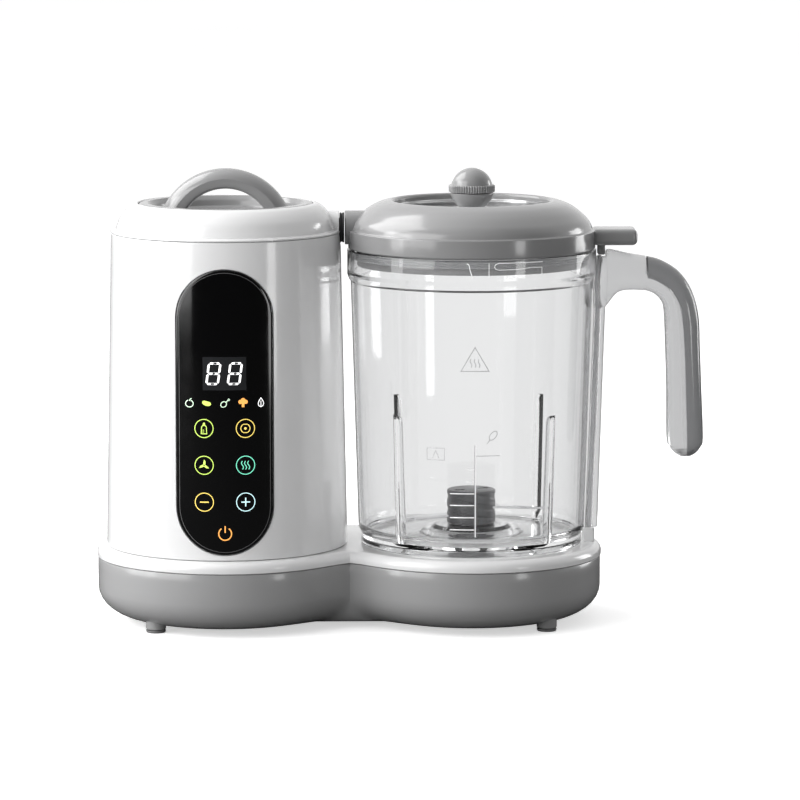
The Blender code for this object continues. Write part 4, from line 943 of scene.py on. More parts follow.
piece("tank_lid", lathe([(0, 226.4), (30.0, 226.4), (30.6, 227.0, 0.4), (34.0, 227.0, 0.4), (34.6, 226.4, 0.3),
                         (44.4, 226.4, 0.4), (44.4, 227.8, 0.2), (43.2, 227.8), (43.2, 232.9), (48.4, 232.9, 0.3),
                         (48.35, 234.2, 0.7), (46.8, 234.9, 0.6), (43.6, 235.0, 0.8), (41.3, 232.6, 2.5),
                         (40.2, 229.2, 1.2), (38.4, 228.8, 0.5), (0, 228.8)], SIDES, XT), GREY, "tank_lid",
      "tank_lid_disc", slot="grey_gloss", angle=28)
piece("tank_lid_ring", lathe([(43.55, 228.2, 0.3), (44.6, 228.2, 0.2), (45.05, 229.0, 0.3), (44.5, 229.9, 0.2),
                              (44.5, 230.5, 0.2), (45.05, 231.4, 0.3), (44.6, 232.4, 0.2), (43.55, 232.4, 0.3)],
                             SIDES, XT), SILICONE, "tank_lid", "tank_lid_seal", slot="silicone")


def arch():
    """Arched handle with a flat band under its bevelled outer face."""
    zb = 229.12
    ro = (34.6 ** 2 + 21.9 ** 2) / (2 * 21.9)
    zo = 253.9 - ro
    ri = (21.0 ** 2 + 10.9 ** 2) / (2 * 10.9)
    zi = 242.9 - ri
    ao, ai = math.acos((zb - zo) / ro), math.acos((zb - zi) / ri)
    rings = []
    n = 72
    hw = 8.5
    for k in range(n + 1):
        t = 2.0 * k / n - 1.0
        po = (XT + ro * math.sin(t * ao), zo + ro * math.cos(t * ao))
        pi = (XT + ri * math.sin(t * ai), zi + ri * math.cos(t * ai))
        if k in (0, n):
            po, pi = (po[0], zb), (pi[0], zb)
        # across the bar from the inner face (u = 0) to the outer (u = 1), y by v
        half = [(0.0, 0.0), (0.0, hw - 2.6), (0.03, hw - 1.3), (0.12, hw - 0.35), (0.22, hw), (0.5, hw),
                (0.545, hw - 0.25), (0.62, hw - 0.75), (0.76, hw - 2.1), (0.89, hw - 4.0), (0.97, hw - 6.2), (1.0, 0.0)]
        ring = []
        for u, y in half:
            ring.append((lerp(pi[0], po[0], u), y, lerp(pi[1], po[1], u)))
        for u, y in reversed(half[1:-1]):
            ring.append((lerp(pi[0], po[0], u), -y, lerp(pi[1], po[1], u)))
        rings.append(ring)
    bm = bmesh.new()
    skin(bm, rings)
    return bm


piece("tank_lid_arch", arch(), GREY, "tank_lid", "tank_lid_handle", slot="grey_gloss", angle=24)

# ------------------------------------------------------------------ jug

def section(inner, middle, outer, half_w, n=14, power=2.6):
    ring = []
    ix, iz = inner
    px, pz = middle
    for i in range(n + 1):
        a = math.pi * i / n
        c, s = math.cos(a), math.sin(a)
        y = half_w * math.copysign(abs(c) ** (2.0 / power), c)
        f = abs(s) ** (2.0 / power)
        ring.append((px + (ix - px) * f, y, pz + (iz - pz) * f))
    for i in range(1, n):
        a = math.pi * i / n
        c, s = math.cos(a), math.sin(a)
        y = -half_w * math.copysign(abs(c) ** (2.0 / power), c)
        f = abs(s) ** (2.0 / power)
        if outer is None:
            ring.append((px, y, pz))
        else:
            ring.append((px + (outer[0] - px) * f, y, pz + (outer[1] - pz) * f))
    return ring


def handle_run(stations, k=5, power=2.6):
    """Sections along smooth lines through (inner x, z, middle x, z, outer x, z, half width)."""
    full = stations[0][2] is not None
    flat = []
    for inner, middle, outer, hw in stations:
        flat.append((*inner, *middle, *(outer or (0, 0)), hw))
    out = []
    for p in smooth(flat, k):
        out.append(section((p[0], p[1]), (p[2], p[3]), (p[4], p[5]) if full else None, p[6], power=power))
    return out


w = JUG_WALL
wall = lathe(
    [(58.8, 44.0, 0.4), (61.9, 44.0, 0.6), (61.9, 49.8, 0.8), (JUG_WALL_R0, JUG_WALL_Z0, 1.5),
     (JUG_WALL_R1, JUG_WALL_Z1 + 0.6, 0.4), (68.5, 192.4, 0.25), (JUG_RIM_R, 194.9, 0.25),
     (JUG_RIM_R, JUG_RIM_Z, 0.5), (66.2, JUG_RIM_Z, 0.4), (66.2, 197.0, 2.0), (JUG_WALL_R1 - w, 192.6, 2.0),
     (JUG_WALL_R0 - w + 0.1, 54.5, 3.0), (56.8, 49.6, 2.0), (29.2, 49.5, 0.8), (27.4, 51.2, 0.7), (26.2, 51.9, 0.6),
     (22.4, 52.0, 0.8), (20.4, 53.8, 0.7), (9.0, 53.8, 0.3), (9.0, 51.0, 0.2), (21.0, 51.0, 0.6), (25.0, 46.7, 1.5),
     (57.4, 46.8, 0.6)], SIDES, XJ)


def jug_rib(ang):
    """Rib inside the wall: upright, with a rounded top that leans into the wall."""
    rib = bmesh.new()
    rings = []
    levels = [(49.0, 5.0), (60.0, 4.9), (80.0, 4.7), (100.0, 4.45), (112.0, 4.3), (116.6, 4.15)]
    for a in (20, 40, 58, 74, 86):
        t = math.radians(a)
        levels.append((116.6 + 4.4 * math.sin(t), 4.15 - 3.6 * (1 - math.cos(t))))
    for z, depth in levels:
        rw = jug_r(z) - w
        pts = [(rw + 1.4, -2.1), (rw + 1.4, 2.1), (rw - 0.1, 2.0), (rw - depth + 1.2, 1.7), (rw - depth + 0.35, 1.2),
               (rw - depth, 0.5), (rw - depth, -0.5), (rw - depth + 0.35, -1.2), (rw - depth + 1.2, -1.7), (rw - 0.1, -2.0)]
        rings.append([(x, y, z) for x, y in pts])
    skin(rib, rings)
    bmesh.ops.rotate(rib, cent=(0, 0, 0), matrix=Matrix.Rotation(ang, 3, "Z"), verts=rib.verts)
    bmesh.ops.translate(rib, vec=(XJ, 0, 0), verts=rib.verts)
    return rib


ribs = gathered([jug_rib(math.atan2(sy * 48.0, sx * 44.0)) for sx in (1, -1) for sy in (1, -1)])
rib = bmesh.new()
rings = []
for z in (51.9, 52.6, 70.0, 90.0, 120.0, 150.0, 186.0):
    xo = 110.8 + (z - 52.0) * 0.0298 - (0.5 if z < 52 else 0.0)
    xi = XJ + jug_r(z) - 1.6
    pts = [(xi, -5.2), (xo - 1.8, -5.2), (xo - 0.9, -4.95), (xo - 0.25, -4.3), (xo, -3.4), (xo, 3.4), (xo - 0.25, 4.3),
           (xo - 0.9, 4.95), (xo - 1.8, 5.2), (xi, 5.2)]
    rings.append([(x, y, z) for x, y in pts])
skin(rib, rings)

hw = 10.5
full_run = [
    ((107.6, 170.0), (107.6, 190.0), (107.6, 204.5), hw - 3.5),
    ((114.6, 176.0), (114.6, 192.0), (114.6, 204.6), hw - 1.0),
    ((115.4, 177.0), (115.4, 192.0), (115.4, 208.4), hw - 0.9),
    ((121.2, 184.0), (121.2, 195.0), (121.2, 207.6), hw),
    ((128.0, 185.6), (128.0, 195.0), (128.0, 206.0), hw),
    ((137.0, 185.3), (137.0, 193.0), (137.0, 204.5), hw)]
half_run = [
    ((137.5, 185.2), (137.5, 193.0), None, hw),
    ((141.6, 183.6), (143.2, 191.0), None, hw),
    ((145.4, 180.0), (150.2, 186.2), None, hw),
    ((147.3, 175.0), (155.6, 177.6), None, hw),
    ((148.2, 160.0), (158.0, 160.0), None, hw),
    ((149.2, 131.0), (159.3, 131.0), None, hw),
    ((149.6, 102.5), (160.2, 102.5), None, hw),
    ((151.2, 97.4), (160.4, 97.4), None, hw - 1.2),
    ((153.6, 94.0), (160.5, 94.0), None, hw - 3.4),
    ((156.8, 91.9), (160.5, 91.9), None, hw - 6.4)]
core = bmesh.new()
skin(core, handle_run(full_run, 4) + handle_run(half_run, 5))
axis_dir = Vector((ROD_X1 - ROD_X0, 0.0, ROD_Z1 - ROD_Z0)).normalized()
tilt = Vector((0, 0, 1)).rotation_difference(axis_dir).to_matrix()


def along_rod(bm):
    bmesh.ops.rotate(bm, cent=(0, 0, 0), matrix=tilt, verts=bm.verts)
    bmesh.ops.translate(bm, vec=(ROD_X0, 0, ROD_Z0), verts=bm.verts)
    return bm


rod_bore = along_rod(turned([(0, -4.0), (2.05, -4.0), (2.05, 164.0), (0, 164.0)], 32))
piece("jug", wall, CLEAR, "jug", "jug_body", slot="clear_plastic", angle=28,
      tools=[("UNION", ribs), ("UNION", rib), ("UNION", core), ("DIFFERENCE", rod_bore)])
rod_len = (Vector((ROD_X1, 0, ROD_Z1)) - Vector((ROD_X0, 0, ROD_Z0))).length
piece("interlock_rod", along_rod(lathe([(0, 0), (1.3, 0.0, 0.2), (1.6, 0.5, 0.2), (1.6, rod_len - 0.8, 0.4),
                                        (1.0, rod_len, 0.3), (0, rod_len)], 40)), DARK_FINE, "lock_rod", "lock_rod",
      slot="white_gloss")
piece("interlock_pin", lathe([(0, 22.0), (1.3, 22.0, 0.3), (1.6, 22.6, 0.3), (1.6, 28.0), (3.1, 28.0, 0.2),
                              (3.1, 30.0, 0.2), (1.6, 30.0), (1.6, 50.8, 0.3), (1.0, 51.5, 0.3), (0, 51.5)], 40, ROD_X0),
      DARK_FINE, "lock_pin", "lock_pin", slot="white_gloss")

g = 0.35
grip_run = [
    ((138.0, 204.3), (138.0, 193.0 + g), None, hw),
    ((145.8, 202.2), (143.2 + g * 0.3, 191.0 + g), None, hw),
    ((155.5, 196.0), (150.2 + g * 0.7, 186.2 + g * 0.8), None, hw),
    ((162.9, 185.5), (155.6 + g, 177.6 + g * 0.4), None, hw),
    ((166.9, 171.0), (157.2 + g, 168.0), None, hw),
    ((167.9, 152.0), (158.36 + g, 152.0), None, hw),
    ((168.8, 131.0), (159.3 + g, 131.0), None, hw),
    ((170.0, 102.5), (160.2 + g, 102.5), None, hw),
    ((168.6, 97.0), (160.4 + g, 97.0), None, hw - 1.2),
    ((166.0, 93.6), (160.5 + g, 93.6), None, hw - 3.4),
    ((163.2, 91.9), (160.5 + g, 91.9), None, hw - 6.4)]
grip = bmesh.new()
skin(grip, handle_run(grip_run, 5))
piece("grip", grip, SMOKE, "jug", "handle_grip", slot="smoke_plastic", angle=34)

piece("bush", lathe([(3.5, 50.6, 0.2), (8.6, 50.6, 0.3), (8.6, 54.1), (11.0, 54.1, 0.2), (11.0, 55.2, 0.4),
                     (3.5, 55.2, 0.3)], 72, XJ), RUBBER, "jug", "spindle_bush", slot="black_rubber")


def star(r_tip, r_root, lobes, per=12):
    pts = []
    for i in range(lobes * per):
        a = 2 * math.pi * i / (lobes * per)
        r = lerp(r_root, r_tip, 0.5 + 0.5 * math.cos(lobes * a))
        pts.append((XJ + r * math.cos(a), r * math.sin(a)))
    return pts


def prism(points, z0, z1, chamfer=0.0):
    cx = sum(p[0] for p in points) / len(points)
    cy = sum(p[1] for p in points) / len(points)

    def ring(z, k):
        return [(cx + (x - cx) * k, cy + (y - cy) * k, z) for x, y in points]

    bm = bmesh.new()
    if chamfer:
        skin(bm, [ring(z0, 0.96), ring(z0 + chamfer, 1.0), ring(z1 - chamfer, 1.0), ring(z1, 0.93)])
    else:
        skin(bm, [ring(z0, 1.0), ring(z1, 1.0)])
    return bm


piece("coupling_lower", prism(star(8.8, 7.0, 6), 41.2, 48.3, 0.5), DARK, "drive", "drive_coupling",
      slot="dark_plastic", angle=40,
      tools=[("DIFFERENCE", turned([(0, 40.0), (4.4, 40.0), (4.4, 46.8), (0, 46.8)], 40, XJ))])
socket = prism(star(9.3, 7.5, 6), 44.0, 48.7)
piece("coupling_upper", lathe([(3.4, 44.7), (13.0, 44.7, 0.5), (13.0, 50.2, 0.4), (3.4, 50.2)], 72, XJ), DARK,
      "blade_drive", "jug_coupler", slot="dark_plastic", angle=40, tools=[("DIFFERENCE", socket)])
piece("spindle", lathe([(0, 48.9), (3.0, 48.9, 0.3), (3.0, 58.5), (0, 58.5)], 48, XJ), STEEL, "blade_drive",
      "jug_spindle", slot="stainless",
      tools=[("UNION", turned(rounded([(0, 58.0), (3.3, 58.0), (3.3, 70.8, 0.3), (2.6, 71.6, 0.2), (0, 71.6)]), 6, XJ))])

# ------------------------------------------------------------------ blades

HUB_R, HUB_Z0, HUB_Z1 = 13.6, 54.5, 73.4


def hub_ripple(r, a, z):
    """Two broad steps wind up the hub's wall."""
    if r < HUB_R - 0.4 or z < 57.0 or z > 72.2:
        return r
    turn = (a / (2 * math.pi) * 2.0 + (z - 57.0) / 7.2) % 1.0
    cutin = 1.0 / (1.0 + math.exp(-(turn - 0.5) * 40.0)) * (1.0 / (1.0 + math.exp((turn - 0.94) * 60.0)))
    ends = min(1.0, (z - 57.0) / 1.2, (72.2 - z) / 1.2)
    return r - 0.4 * cutin * max(ends, 0.0)


hub_profile = [(0, 57.0), (11.8, 57.0), (11.8, HUB_Z0), (13.2, HUB_Z0), (HUB_R, 54.9)]
hub_profile += [(HUB_R, lerp(55.4, 72.4, i / 40)) for i in range(41)]
hub_profile += [(13.5, 72.9), (13.1, 73.28), (12.6, HUB_Z1), (0, HUB_Z1)]


def blade(name, angle, z_root, z_tip, node=None, grow=0.0):
    """Curved blade, ground to an edge along its leading side."""
    r0, r1, half = 7.6 - grow, 41.0, 6.4
    n = 8 if grow else 30
    lead, trail = [], []
    for i in range(n + 1):
        t = i / n
        r = lerp(r0, r1, t)
        sweep = -0.42 * t * t
        width = lerp(half, 1.1, t ** 1.6) + grow
        zc = z_root + (z_tip - z_root) * max(0.0, (r - 15.0) / (r1 - 15.0)) ** 0.8
        lead.append((r, sweep * 12.0 + width * 0.55, zc))
        trail.append((r, sweep * 12.0 - width, zc))
        if grow and r > 16.0:
            break
    bm = bmesh.new()
    rings = []
    t2 = 0.65 + grow
    for (r, ya, zc), (_, yb, _z) in zip(lead, trail):
        if grow:
            rings.append([(r, ya, zc - t2), (r, ya, zc + t2), (r, yb, zc + t2), (r, yb, zc - t2)])
            continue
        ground = 0.0 if r < 15.2 else min(1.0, (r - 15.2) / 1.5)
        run = min(2.2, (ya - yb) * 0.4) * ground
        top = lerp(t2, 0.06, ground)
        rings.append([(r, ya, zc - t2), (r, ya, zc - t2 + t2 + top), (r, ya - run - 0.02, zc + t2), (r, (ya + yb) / 2, zc + t2),
                      (r, yb + 0.15, zc + t2), (r, yb, zc + t2 - 0.15), (r, yb, zc - t2 + 0.15), (r, yb + 0.15, zc - t2)])
    skin(bm, rings)
    bmesh.ops.rotate(bm, cent=(0, 0, 0), matrix=Matrix.Rotation(angle, 3, "Z"), verts=bm.verts)
    bmesh.ops.translate(bm, vec=(XJ, 0, 0), verts=bm.verts)
    if grow:
        return bm
    return piece(name, bm, BLADE, "blades", node, slot="stainless", angle=12)


A1, A2 = math.radians(6.0), math.radians(186.0)
blade("cutter_upper", A1, 63.6, 62.6, "blade_upper")
blade("cutter_lower", A2, 58.6, 55.6, "blade_lower")
arrow = []
for k in range(2):
    s = bmesh.new()
    pts = [(4.2, -1.0), (8.4, -1.0), (8.4, -2.5), (11.2, 0.0), (8.4, 2.5), (8.4, 1.0), (4.2, 1.0)]
    skin(s, [[(x, y, 72.9) for x, y in pts], [(x, y, 74.0) for x, y in pts]])
    bmesh.ops.rotate(s, cent=(0, 0, 0), matrix=Matrix.Rotation(math.radians(25 + 180 * k), 3, "Z"), verts=s.verts)
    bmesh.ops.translate(s, vec=(XJ, 0, 0), verts=s.verts)
    arrow.append(s)
piece("hub", turned(hub_profile, 160, XJ, ripple=hub_ripple), DARK, "blades", "blade_hub", slot="dark_plastic", angle=35,
      tools=[("DIFFERENCE", turned([(0, 56.0), (3.75, 56.0), (3.75, 72.0), (0, 72.0)], 6, XJ)),
             ("DIFFERENCE", blade("", A1, 63.6, 62.6, grow=0.35)), ("DIFFERENCE", blade("", A2, 58.6, 55.6, grow=0.35)),
             ("DIFFERENCE", gathered(arrow))])

# ------------------------------------------------------------------ jug lid

dome = smooth([(67.3, 220.2), (66.4, 222.6), (64.8, 225.2), (62.4, 227.7), (58.7, 230.9), (54.1, 233.7), (50.0, 235.2),
               (46.6, 236.0)], 4)
lid = lathe([(66.6, 209.6, 0.3), (68.9, 209.6, 0.5), (68.9, 219.5, 0.5), (67.5, 219.9, 0.3)] + dome
            + [(45.3, 236.1, 0.4), (44.2, 235.6, 0.5), (43.6, 234.6, 0.4), (43.6, 230.8, 0.3), (40.4, 230.8, 0.3),
               (40.4, 228.8, 0.3), (47.0, 228.8, 1.0), (52.4, 231.2, 4.0), (60.4, 225.2, 5.0), (65.9, 216.5, 1.0)],
            SIDES, XJ)
port = turned(rounded([(0, -30.8), (DUCT_R, -30.8, 0.5), (DUCT_R, -19.0), (0, -19.0)]), 72, 0, DUCT_Z, axis="X", phase=0.02)
relief = block(-26.6, -10.0, -12.0, 12.0, 205.0, 215.0)
tab = block(106.9, 131.9, -11.5, 11.5, 211.2, 220.2, 2.9, 6)
lug = block(110.2, 114.3, -4.0, 4.0, 205.4, 213.0, 0.8, 4)


def trimmed_port():
    """The port, relieved below and rounded about the jug's axis."""
    ob = raw("port_tmp", port)
    helpers = []
    sweep = turned([(0, 205.0), (70.85, 205.0), (70.85, 235.0), (0, 235.0)], 192, XJ)
    for op, tool in (("DIFFERENCE", relief), ("INTERSECT", sweep)):
        h = raw("port_tool", tool)
        m = ob.modifiers.new(op, "BOOLEAN")
        m.object, m.operation, m.solver = h, op, "EXACT"
        helpers.append(h)
    bpy.context.view_layer.update()
    bm = bmesh.new()
    bm.from_mesh(ob.evaluated_get(bpy.context.evaluated_depsgraph_get()).data)
    bmesh.ops.transform(bm, matrix=Matrix.Diagonal((1000, 1000, 1000, 1)), verts=bm.verts)
    for h in helpers + [ob]:
        data = h.data
        bpy.data.objects.remove(h)
        bpy.data.meshes.remove(data)
    return bm


piece("lid", lid, GREY, "lid", "lid_dome", slot="grey_gloss", angle=28,
      tools=[("UNION", trimmed_port()),
             ("DIFFERENCE", turned([(0, -33.0), (4.5, -33.0), (4.5, -15.0), (0, -15.0)], 48, 0, DUCT_Z, axis="X",
                                   phase=0.05)),
             ("UNION", tab), ("UNION", lug)])
piece("lid_skirt", lathe([(61.9, 200.2, 0.3), (64.4, 200.2, 0.6), (64.4, 210.0), (65.6, 210.4, 0.3), (65.6, 213.8, 0.3),
                          (61.9, 213.8, 0.3)], SIDES, XJ), GREY_SKIRT_PAINTED_SHADE, "lid", "lid_collar", slot="grey_gloss")
piece("lid_ring", lathe([(64.75, 203.8, 0.2), (65.6, 203.8, 0.2), (65.85, 204.3, 0.15), (65.4, 204.9, 0.2),
                         (65.85, 205.5, 0.2), (65.4, 206.1, 0.2), (65.85, 206.7, 0.2), (65.6, 208.0, 0.2),
                         (64.75, 208.0, 0.2)], SIDES, XJ), SILICONE, "lid_seal_ring", "lid_seal", slot="silicone")
piece("window", lathe([(2.2, 229.6, 0.2), (39.9, 229.6, 0.4), (39.9, 231.1), (43.1, 231.2, 0.3), (43.1, 232.9, 0.5),
                       (40.6, 232.9, 0.4), (38.6, 231.9, 0.6), (2.2, 231.9, 0.2)], SIDES, XJ), CLEAR_LID, "filler_cap",
      "filler_window", slot="clear_plastic")
piece("knob_foot", lathe([(1.9, 232.3), (7.4, 232.3, 0.5), (8.6, 233.3, 1.0), (10.6, 236.0, 3.0), (12.1, 239.4, 0.8),
                          (12.1, 240.0, 0.3), (1.9, 240.0)], 96, XJ), GREY, "filler_cap", "knob_base", slot="grey_gloss")


def knurl(r, a, z):
    if r < 12.0 or not 240.5 <= z <= 244.6:
        return r
    s = 0.5 + 0.5 * math.cos(54 * a)
    depth = min(1.0, (z - 240.5) / 0.4, (244.6 - z) / 0.4)
    return r - 0.6 * (1 - s ** 0.7) * max(depth, 0.0)


ball = [(0, 240.4), (12.0, 240.4), (12.6, 240.55), (12.9, 240.9), (12.9, 241.4), (12.9, 242.4), (12.9, 243.4),
        (12.9, 243.9), (12.7, 244.3), (12.2, 244.55), (11.35, 244.6)]
for a in (14, 20, 27, 34, 41, 48, 55, 62, 69, 76, 83):
    t = math.radians(a)
    ball.append((11.6 * math.cos(t), 242.4 + 11.5 * math.sin(t)))
ball.append((0, 253.9))
piece("knob", turned(ball, 432, XJ, ripple=knurl), GREY, "filler_cap", "knob_cap", slot="grey_gloss", angle=35)
piece("cap_screw", lathe([(0, 227.6), (3.4, 227.6, 0.3), (4.0, 228.2, 0.3), (4.0, 229.2, 0.2), (1.5, 229.2),
                          (1.5, 239.4, 0.2), (0, 239.6)], 48, XJ), SCREW, "filler_cap", "knob_screw", slot="stainless",
      tools=[("DIFFERENCE", cross_recess(XJ, 0.0, 1.6, 0.3, 227.0, 228.3))])

# printed scale and marks on the jug's front

def jug_sign(name, mat, parts):
    return piece(name, gathered(parts), mat, "jug", slot="clear_plastic", angle=40)


def js(points, width, closed=False):
    return stroke(points, width, closed, -0.1, 0.07, on_jug)


jug_sign("scale_line", PRINT, [js([(-0.5, lerp(56.0, 107.0, i / 12)) for i in range(13)], 0.34),
                               js([(-0.5, 101.2), (6.0, 101.2), (13.1, 101.2)], 0.34)])
# the white ticks and the white scale edge glow with painted light
jug_sign("scale_ticks", PRINT_WHITE_PAINTED_GLOW, [js([(-14.0, zz), (-7.0, zz), (-0.7, zz)], 0.55) for zz in (80.2, 73.7, 66.9, 60.1)]
         + [js([(-5.0, zz), (-0.7, zz)], 0.28) for zz in (93.6, 86.8)])
spoon = [js(oval(9.6, 112.4, 2.9, 1.6, 52, 24), 0.34, True), js([(7.9, 110.2), (6.2, 107.9)], 0.34)]
jug_sign("fill_mark", PRINT, spoon)
tri = [(-8.2, 148.0), (7.2, 148.0), (-0.5, 161.2)]
hot = [js([(lerp(tri[i][0], tri[(i + 1) % 3][0], k / 8), lerp(tri[i][1], tri[(i + 1) % 3][1], k / 8))
           for i in range(3) for k in range(8)], 0.42, True)]
for dx in (-2.2, 0.0, 2.2):
    hot.append(js([(-0.5 + dx + 0.5 * math.sin(i / 10 * 2 * math.pi), 150.2 + 4.6 * i / 10) for i in range(11)], 0.42))
jug_sign("hot_mark", PRINT, hot)
jug_sign("scale_edge", PRINT_WHITE_PAINTED_GLOW, [js([(0.0, lerp(56.0, 107.0, i / 12)) for i in range(13)], 0.5)])
jug_sign("fill_frame", PRINT, [js([(-26.4, 98.6), (-26.4, 105.2), (-17.0, 105.2), (-17.0, 98.6)], 0.3, True),
                               js([(-23.4, 99.8), (-21.7, 103.9), (-20.0, 99.8)], 0.34)])

def on_rim(x, z, off):
    a = -math.pi / 2 + x / JUG_RIM_R
    r = JUG_RIM_R + off
    return (XJ + r * math.cos(a), r * math.sin(a), z)


def rs(points, width, closed=False):
    return stroke(points, width, closed, -0.1, 0.09, on_rim)


# painted highlights: the moulded tracks for the lid's lugs, three times round the rim, drawn as white glowing strokes
# that stand in for light on the clear tracks
tracks = []
for turn in (0.0, 120.0, 240.0):
    d = math.radians(turn) * JUG_RIM_R
    run = [(x + d, z) for x, z in smooth([(-5.2, 207.3), (-4.0, 206.4), (-3.4, 203.6), (-2.0, 199.4)], 4)]
    tracks.append(rs(run, 0.42))
    tracks.append(rs([(6.9 + d, 207.4), (6.9 + d, 203.5), (6.9 + d, 199.5)], 0.36))
    slot_run = [(38.5, 207.4), (12.5, 207.4), (10.6, 206.8), (9.9, 205.4), (10.6, 204.2), (12.5, 203.7), (24.0, 203.8),
                (31.0, 204.6), (38.0, 204.4), (38.0, 200.4)]
    fine = []
    for (xa, za), (xb, zb) in zip(slot_run[:-1], slot_run[1:]):
        k = max(1, int(abs(xb - xa) / 2.0))
        fine += [(lerp(xa, xb, i / k) + d, lerp(za, zb, i / k)) for i in range(k)]
    fine.append((slot_run[-1][0] + d, slot_run[-1][1]))
    tracks.append(rs(fine, 0.36))
jug_sign("lug_track_highlights", PRINT_WHITE_PAINTED_GLOW, tracks)

# ------------------------------------------------------------------ materials on the nodes that stay

BY_SLOT = {"white_gloss": WHITE, "grey_gloss": GREY, "panel_black": BLACK, "display_grey": SMOKED,
           "clear_plastic": CLEAR, "smoke_plastic": SMOKE, "black_rubber": RUBBER, "silicone": SILICONE,
           "dark_plastic": DARK, "stainless": STEEL, "cast_aluminium": ALU, "laminated_iron": IRON,
           "copper_winding": COPPER, "board_green": BOARD}
SLOT_OF = {s["node"]: s["material_slot"] for s in frame["record"]["subparts"]}
for name, node in NODES.items():
    if node.hide_render:
        continue
    for ms in node.material_slots:
        ms.material = BY_SLOT[SLOT_OF[name]]

# ------------------------------------------------------------------ floor, light, camera

bm = bmesh.new()
bmesh.ops.create_grid(bm, x_segments=12, y_segments=12, size=12.0)
mesh = bpy.data.meshes.new("floor")
bm.to_mesh(mesh)
bm.free()
floor = bpy.data.objects.new("floor", mesh)
scene.collection.objects.link(floor)
mat, nt, bsdf, co = shader("pale_floor")
nt.links.new(two_tone(nt, noise(nt, co, 3.0), (0.95, 0.95, 0.95), (0.98, 0.98, 0.98)), bsdf.inputs["Base Color"])
bsdf.inputs["Roughness"].default_value = 0.8
bsdf.inputs["Specular IOR Level"].default_value = 0.0
bsdf.inputs["Emission Color"].default_value = (1, 1, 1, 1)
bsdf.inputs["Emission Strength"].default_value = 0.56
path = nt.nodes.new("ShaderNodeLightPath")
dull = nt.nodes.new("ShaderNodeBsdfDiffuse")
tone = nt.nodes.new("ShaderNodeMapRange")
tone.inputs["To Min"].default_value, tone.inputs["To Max"].default_value = 0.3, 0.07
outer = nt.nodes.new("ShaderNodeMath")
outer.operation = "SUBTRACT"
outer.use_clamp = True
nt.links.new(path.outputs["Is Glossy Ray"], outer.inputs[0])
nt.links.new(path.outputs["Transmission Depth"], outer.inputs[1])
nt.links.new(outer.outputs["Value"], tone.inputs["Value"])
nt.links.new(tone.outputs["Result"], dull.inputs["Color"])
least = nt.nodes.new("ShaderNodeMath")
least.operation = "MAXIMUM"
nt.links.new(path.outputs["Is Camera Ray"], least.inputs[0])
nt.links.new(path.outputs["Is Transmission Ray"], least.inputs[1])
both = nt.nodes.new("ShaderNodeMixShader")
nt.links.new(least.outputs["Value"], both.inputs["Fac"])
nt.links.new(dull.outputs["BSDF"], both.inputs[1])
nt.links.new(bsdf.outputs["BSDF"], both.inputs[2])
# an even pale ground through the clear mouldings
even = nt.nodes.new("ShaderNodeEmission")
even.inputs["Color"].default_value = (1, 1, 1, 1)
even.inputs["Strength"].default_value = 0.97
ground = nt.nodes.new("ShaderNodeMixShader")
nt.links.new(path.outputs["Is Transmission Ray"], ground.inputs["Fac"])
nt.links.new(both.outputs["Shader"], ground.inputs[1])
nt.links.new(even.outputs["Emission"], ground.inputs[2])
nt.links.new(ground.outputs["Shader"], nt.nodes["Material Output"].inputs["Surface"])
mesh.materials.append(mat)
floor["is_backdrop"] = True

FILL, FILL_SIDE, FILL_TOP, ROOM = 0.3, 0.18, 0.24, 0.02
world = bpy.data.worlds.new("studio")
scene.world = world
world.use_nodes = True
wt = world.node_tree
wt.nodes.clear()
out = wt.nodes.new("ShaderNodeOutputWorld")
seen = wt.nodes.new("ShaderNodeBackground")
seen.inputs["Color"].default_value = (1, 1, 1, 1)
seen.inputs["Strength"].default_value = 1.0

def world_node(kind):
    return wt.nodes.new("ShaderNode" + kind)


def ramp(value, lo, hi, out_lo, out_hi, kind="SMOOTHSTEP"):
    m = world_node("MapRange")
    m.interpolation_type = kind
    for key, v in (("From Min", lo), ("From Max", hi), ("To Min", out_lo), ("To Max", out_hi)):
        m.inputs[key].default_value = v
    wt.links.new(value, m.inputs["Value"])
    return m.outputs["Result"]


def total(a, b, operation="ADD"):
    m = world_node("Math")
    m.operation = operation
    wt.links.new(a, m.inputs[0])
    wt.links.new(b, m.inputs[1])
    return m.outputs["Value"]


def background(strength):
    bg = world_node("Background")
    bg.inputs["Color"].default_value = (1, 1, 1, 1)
    wt.links.new(strength, bg.inputs["Strength"])
    return bg.outputs["Background"]


def pick(fac, one, other):
    m = world_node("MixShader")
    wt.links.new(fac, m.inputs["Fac"])
    wt.links.new(one, m.inputs[1])
    wt.links.new(other, m.inputs[2])
    return m.outputs["Shader"]


wc = world_node("TexCoord")
sep = world_node("SeparateXYZ")
wt.links.new(wc.outputs["Generated"], sep.inputs["Vector"])
X, Y, Z = (sep.outputs[k] for k in "XYZ")
# soft fill: brighter from the left and above
fill = total(ramp(X, -1.0, 1.0, FILL + FILL_SIDE, FILL - FILL_SIDE, "LINEAR"), ramp(Z, 0.0, 1.0, 0.0, FILL_TOP, "LINEAR"))
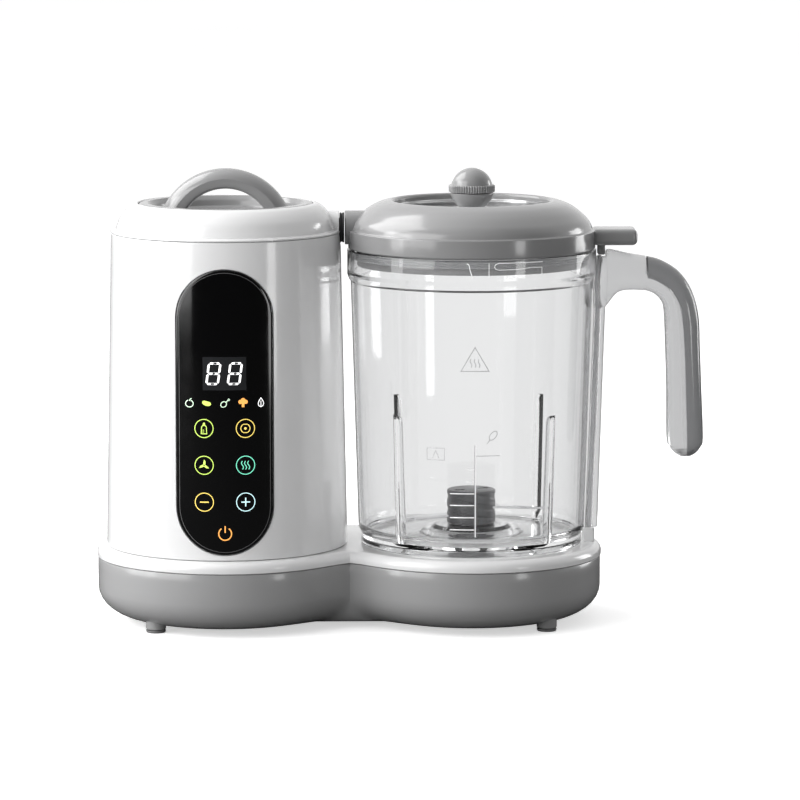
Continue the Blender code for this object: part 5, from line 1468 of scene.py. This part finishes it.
# what gloss mirrors: a pale backdrop behind, a dim room in front, a pale ceiling
ceiling = total(ramp(Z, 0.45, 0.95, 0.0, 0.6), ramp(X, -0.5, 0.45, 1.0, 0.12), "MULTIPLY")
mirror = total(ramp(Y, -0.5, 0.3, ROOM, 0.95), ceiling)
lp = world_node("LightPath")
# gloss inside the clear mouldings mirrors a lighter room
mirror = total(mirror, ramp(lp.outputs["Transmission Depth"], 0.0, 1.0, 0.0, 0.45, "LINEAR"))
straight = total(lp.outputs["Is Camera Ray"], lp.outputs["Is Transmission Ray"], "MAXIMUM")
dim = pick(lp.outputs["Is Glossy Ray"], background(fill), background(mirror))
wt.links.new(pick(straight, dim, seen.outputs["Background"]), out.inputs["Surface"])


def softbox(name, place, target, width, height, power):
    data = bpy.data.lights.new(name, "AREA")
    data.shape = "RECTANGLE"
    data.size, data.size_y = width, height
    data.energy = power
    ob = bpy.data.objects.new(name, data)
    scene.collection.objects.link(ob)
    ob.location = place
    ob.rotation_euler = (Vector(target) - Vector(place)).to_track_quat("-Z", "Y").to_euler()
    return ob


softbox("key_left", (-1.25, -0.95, 0.75), (0, 0, 0.12), 1.2, 1.5, 18.0)
softbox("key_side", (-1.6, -0.25, 0.5), (0, 0, 0.12), 0.9, 1.4, 17.0)
softbox("top_left", (-0.82, 0.28, 1.08), (0.05, 0, 0.2), 1.0, 0.9, 10.5)
softbox("strip_right", (1.05, -1.1, 0.1), (0, 0, 0.12), 0.24, 0.4, 1.6)
softbox("rim_right", (1.38, 0.72, 0.3), (0, 0, 0.12), 0.5, 0.9, 7.0)

cam_data = bpy.data.cameras.new("view")
cam_data.sensor_width = 36.0
cam_data.lens = 202.5
cam_data.clip_start, cam_data.clip_end = 0.05, 50.0
cam = bpy.data.objects.new("view", cam_data)
scene.collection.objects.link(cam)
az, el, dist = math.radians(-1.2), math.radians(7.63), 2.52
back = Vector((math.sin(az) * math.cos(el), -math.cos(az) * math.cos(el), math.sin(el)))
target = Vector((0.0, 0.0, 0.1236))
cam.location = target + back * dist
cam.rotation_euler = (-back).to_track_quat("-Z", "Y").to_euler()
scene.camera = cam
scene.view_settings.view_transform = "Standard"
scene.view_settings.look = "None"

VISUAL_BOX = plain(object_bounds())
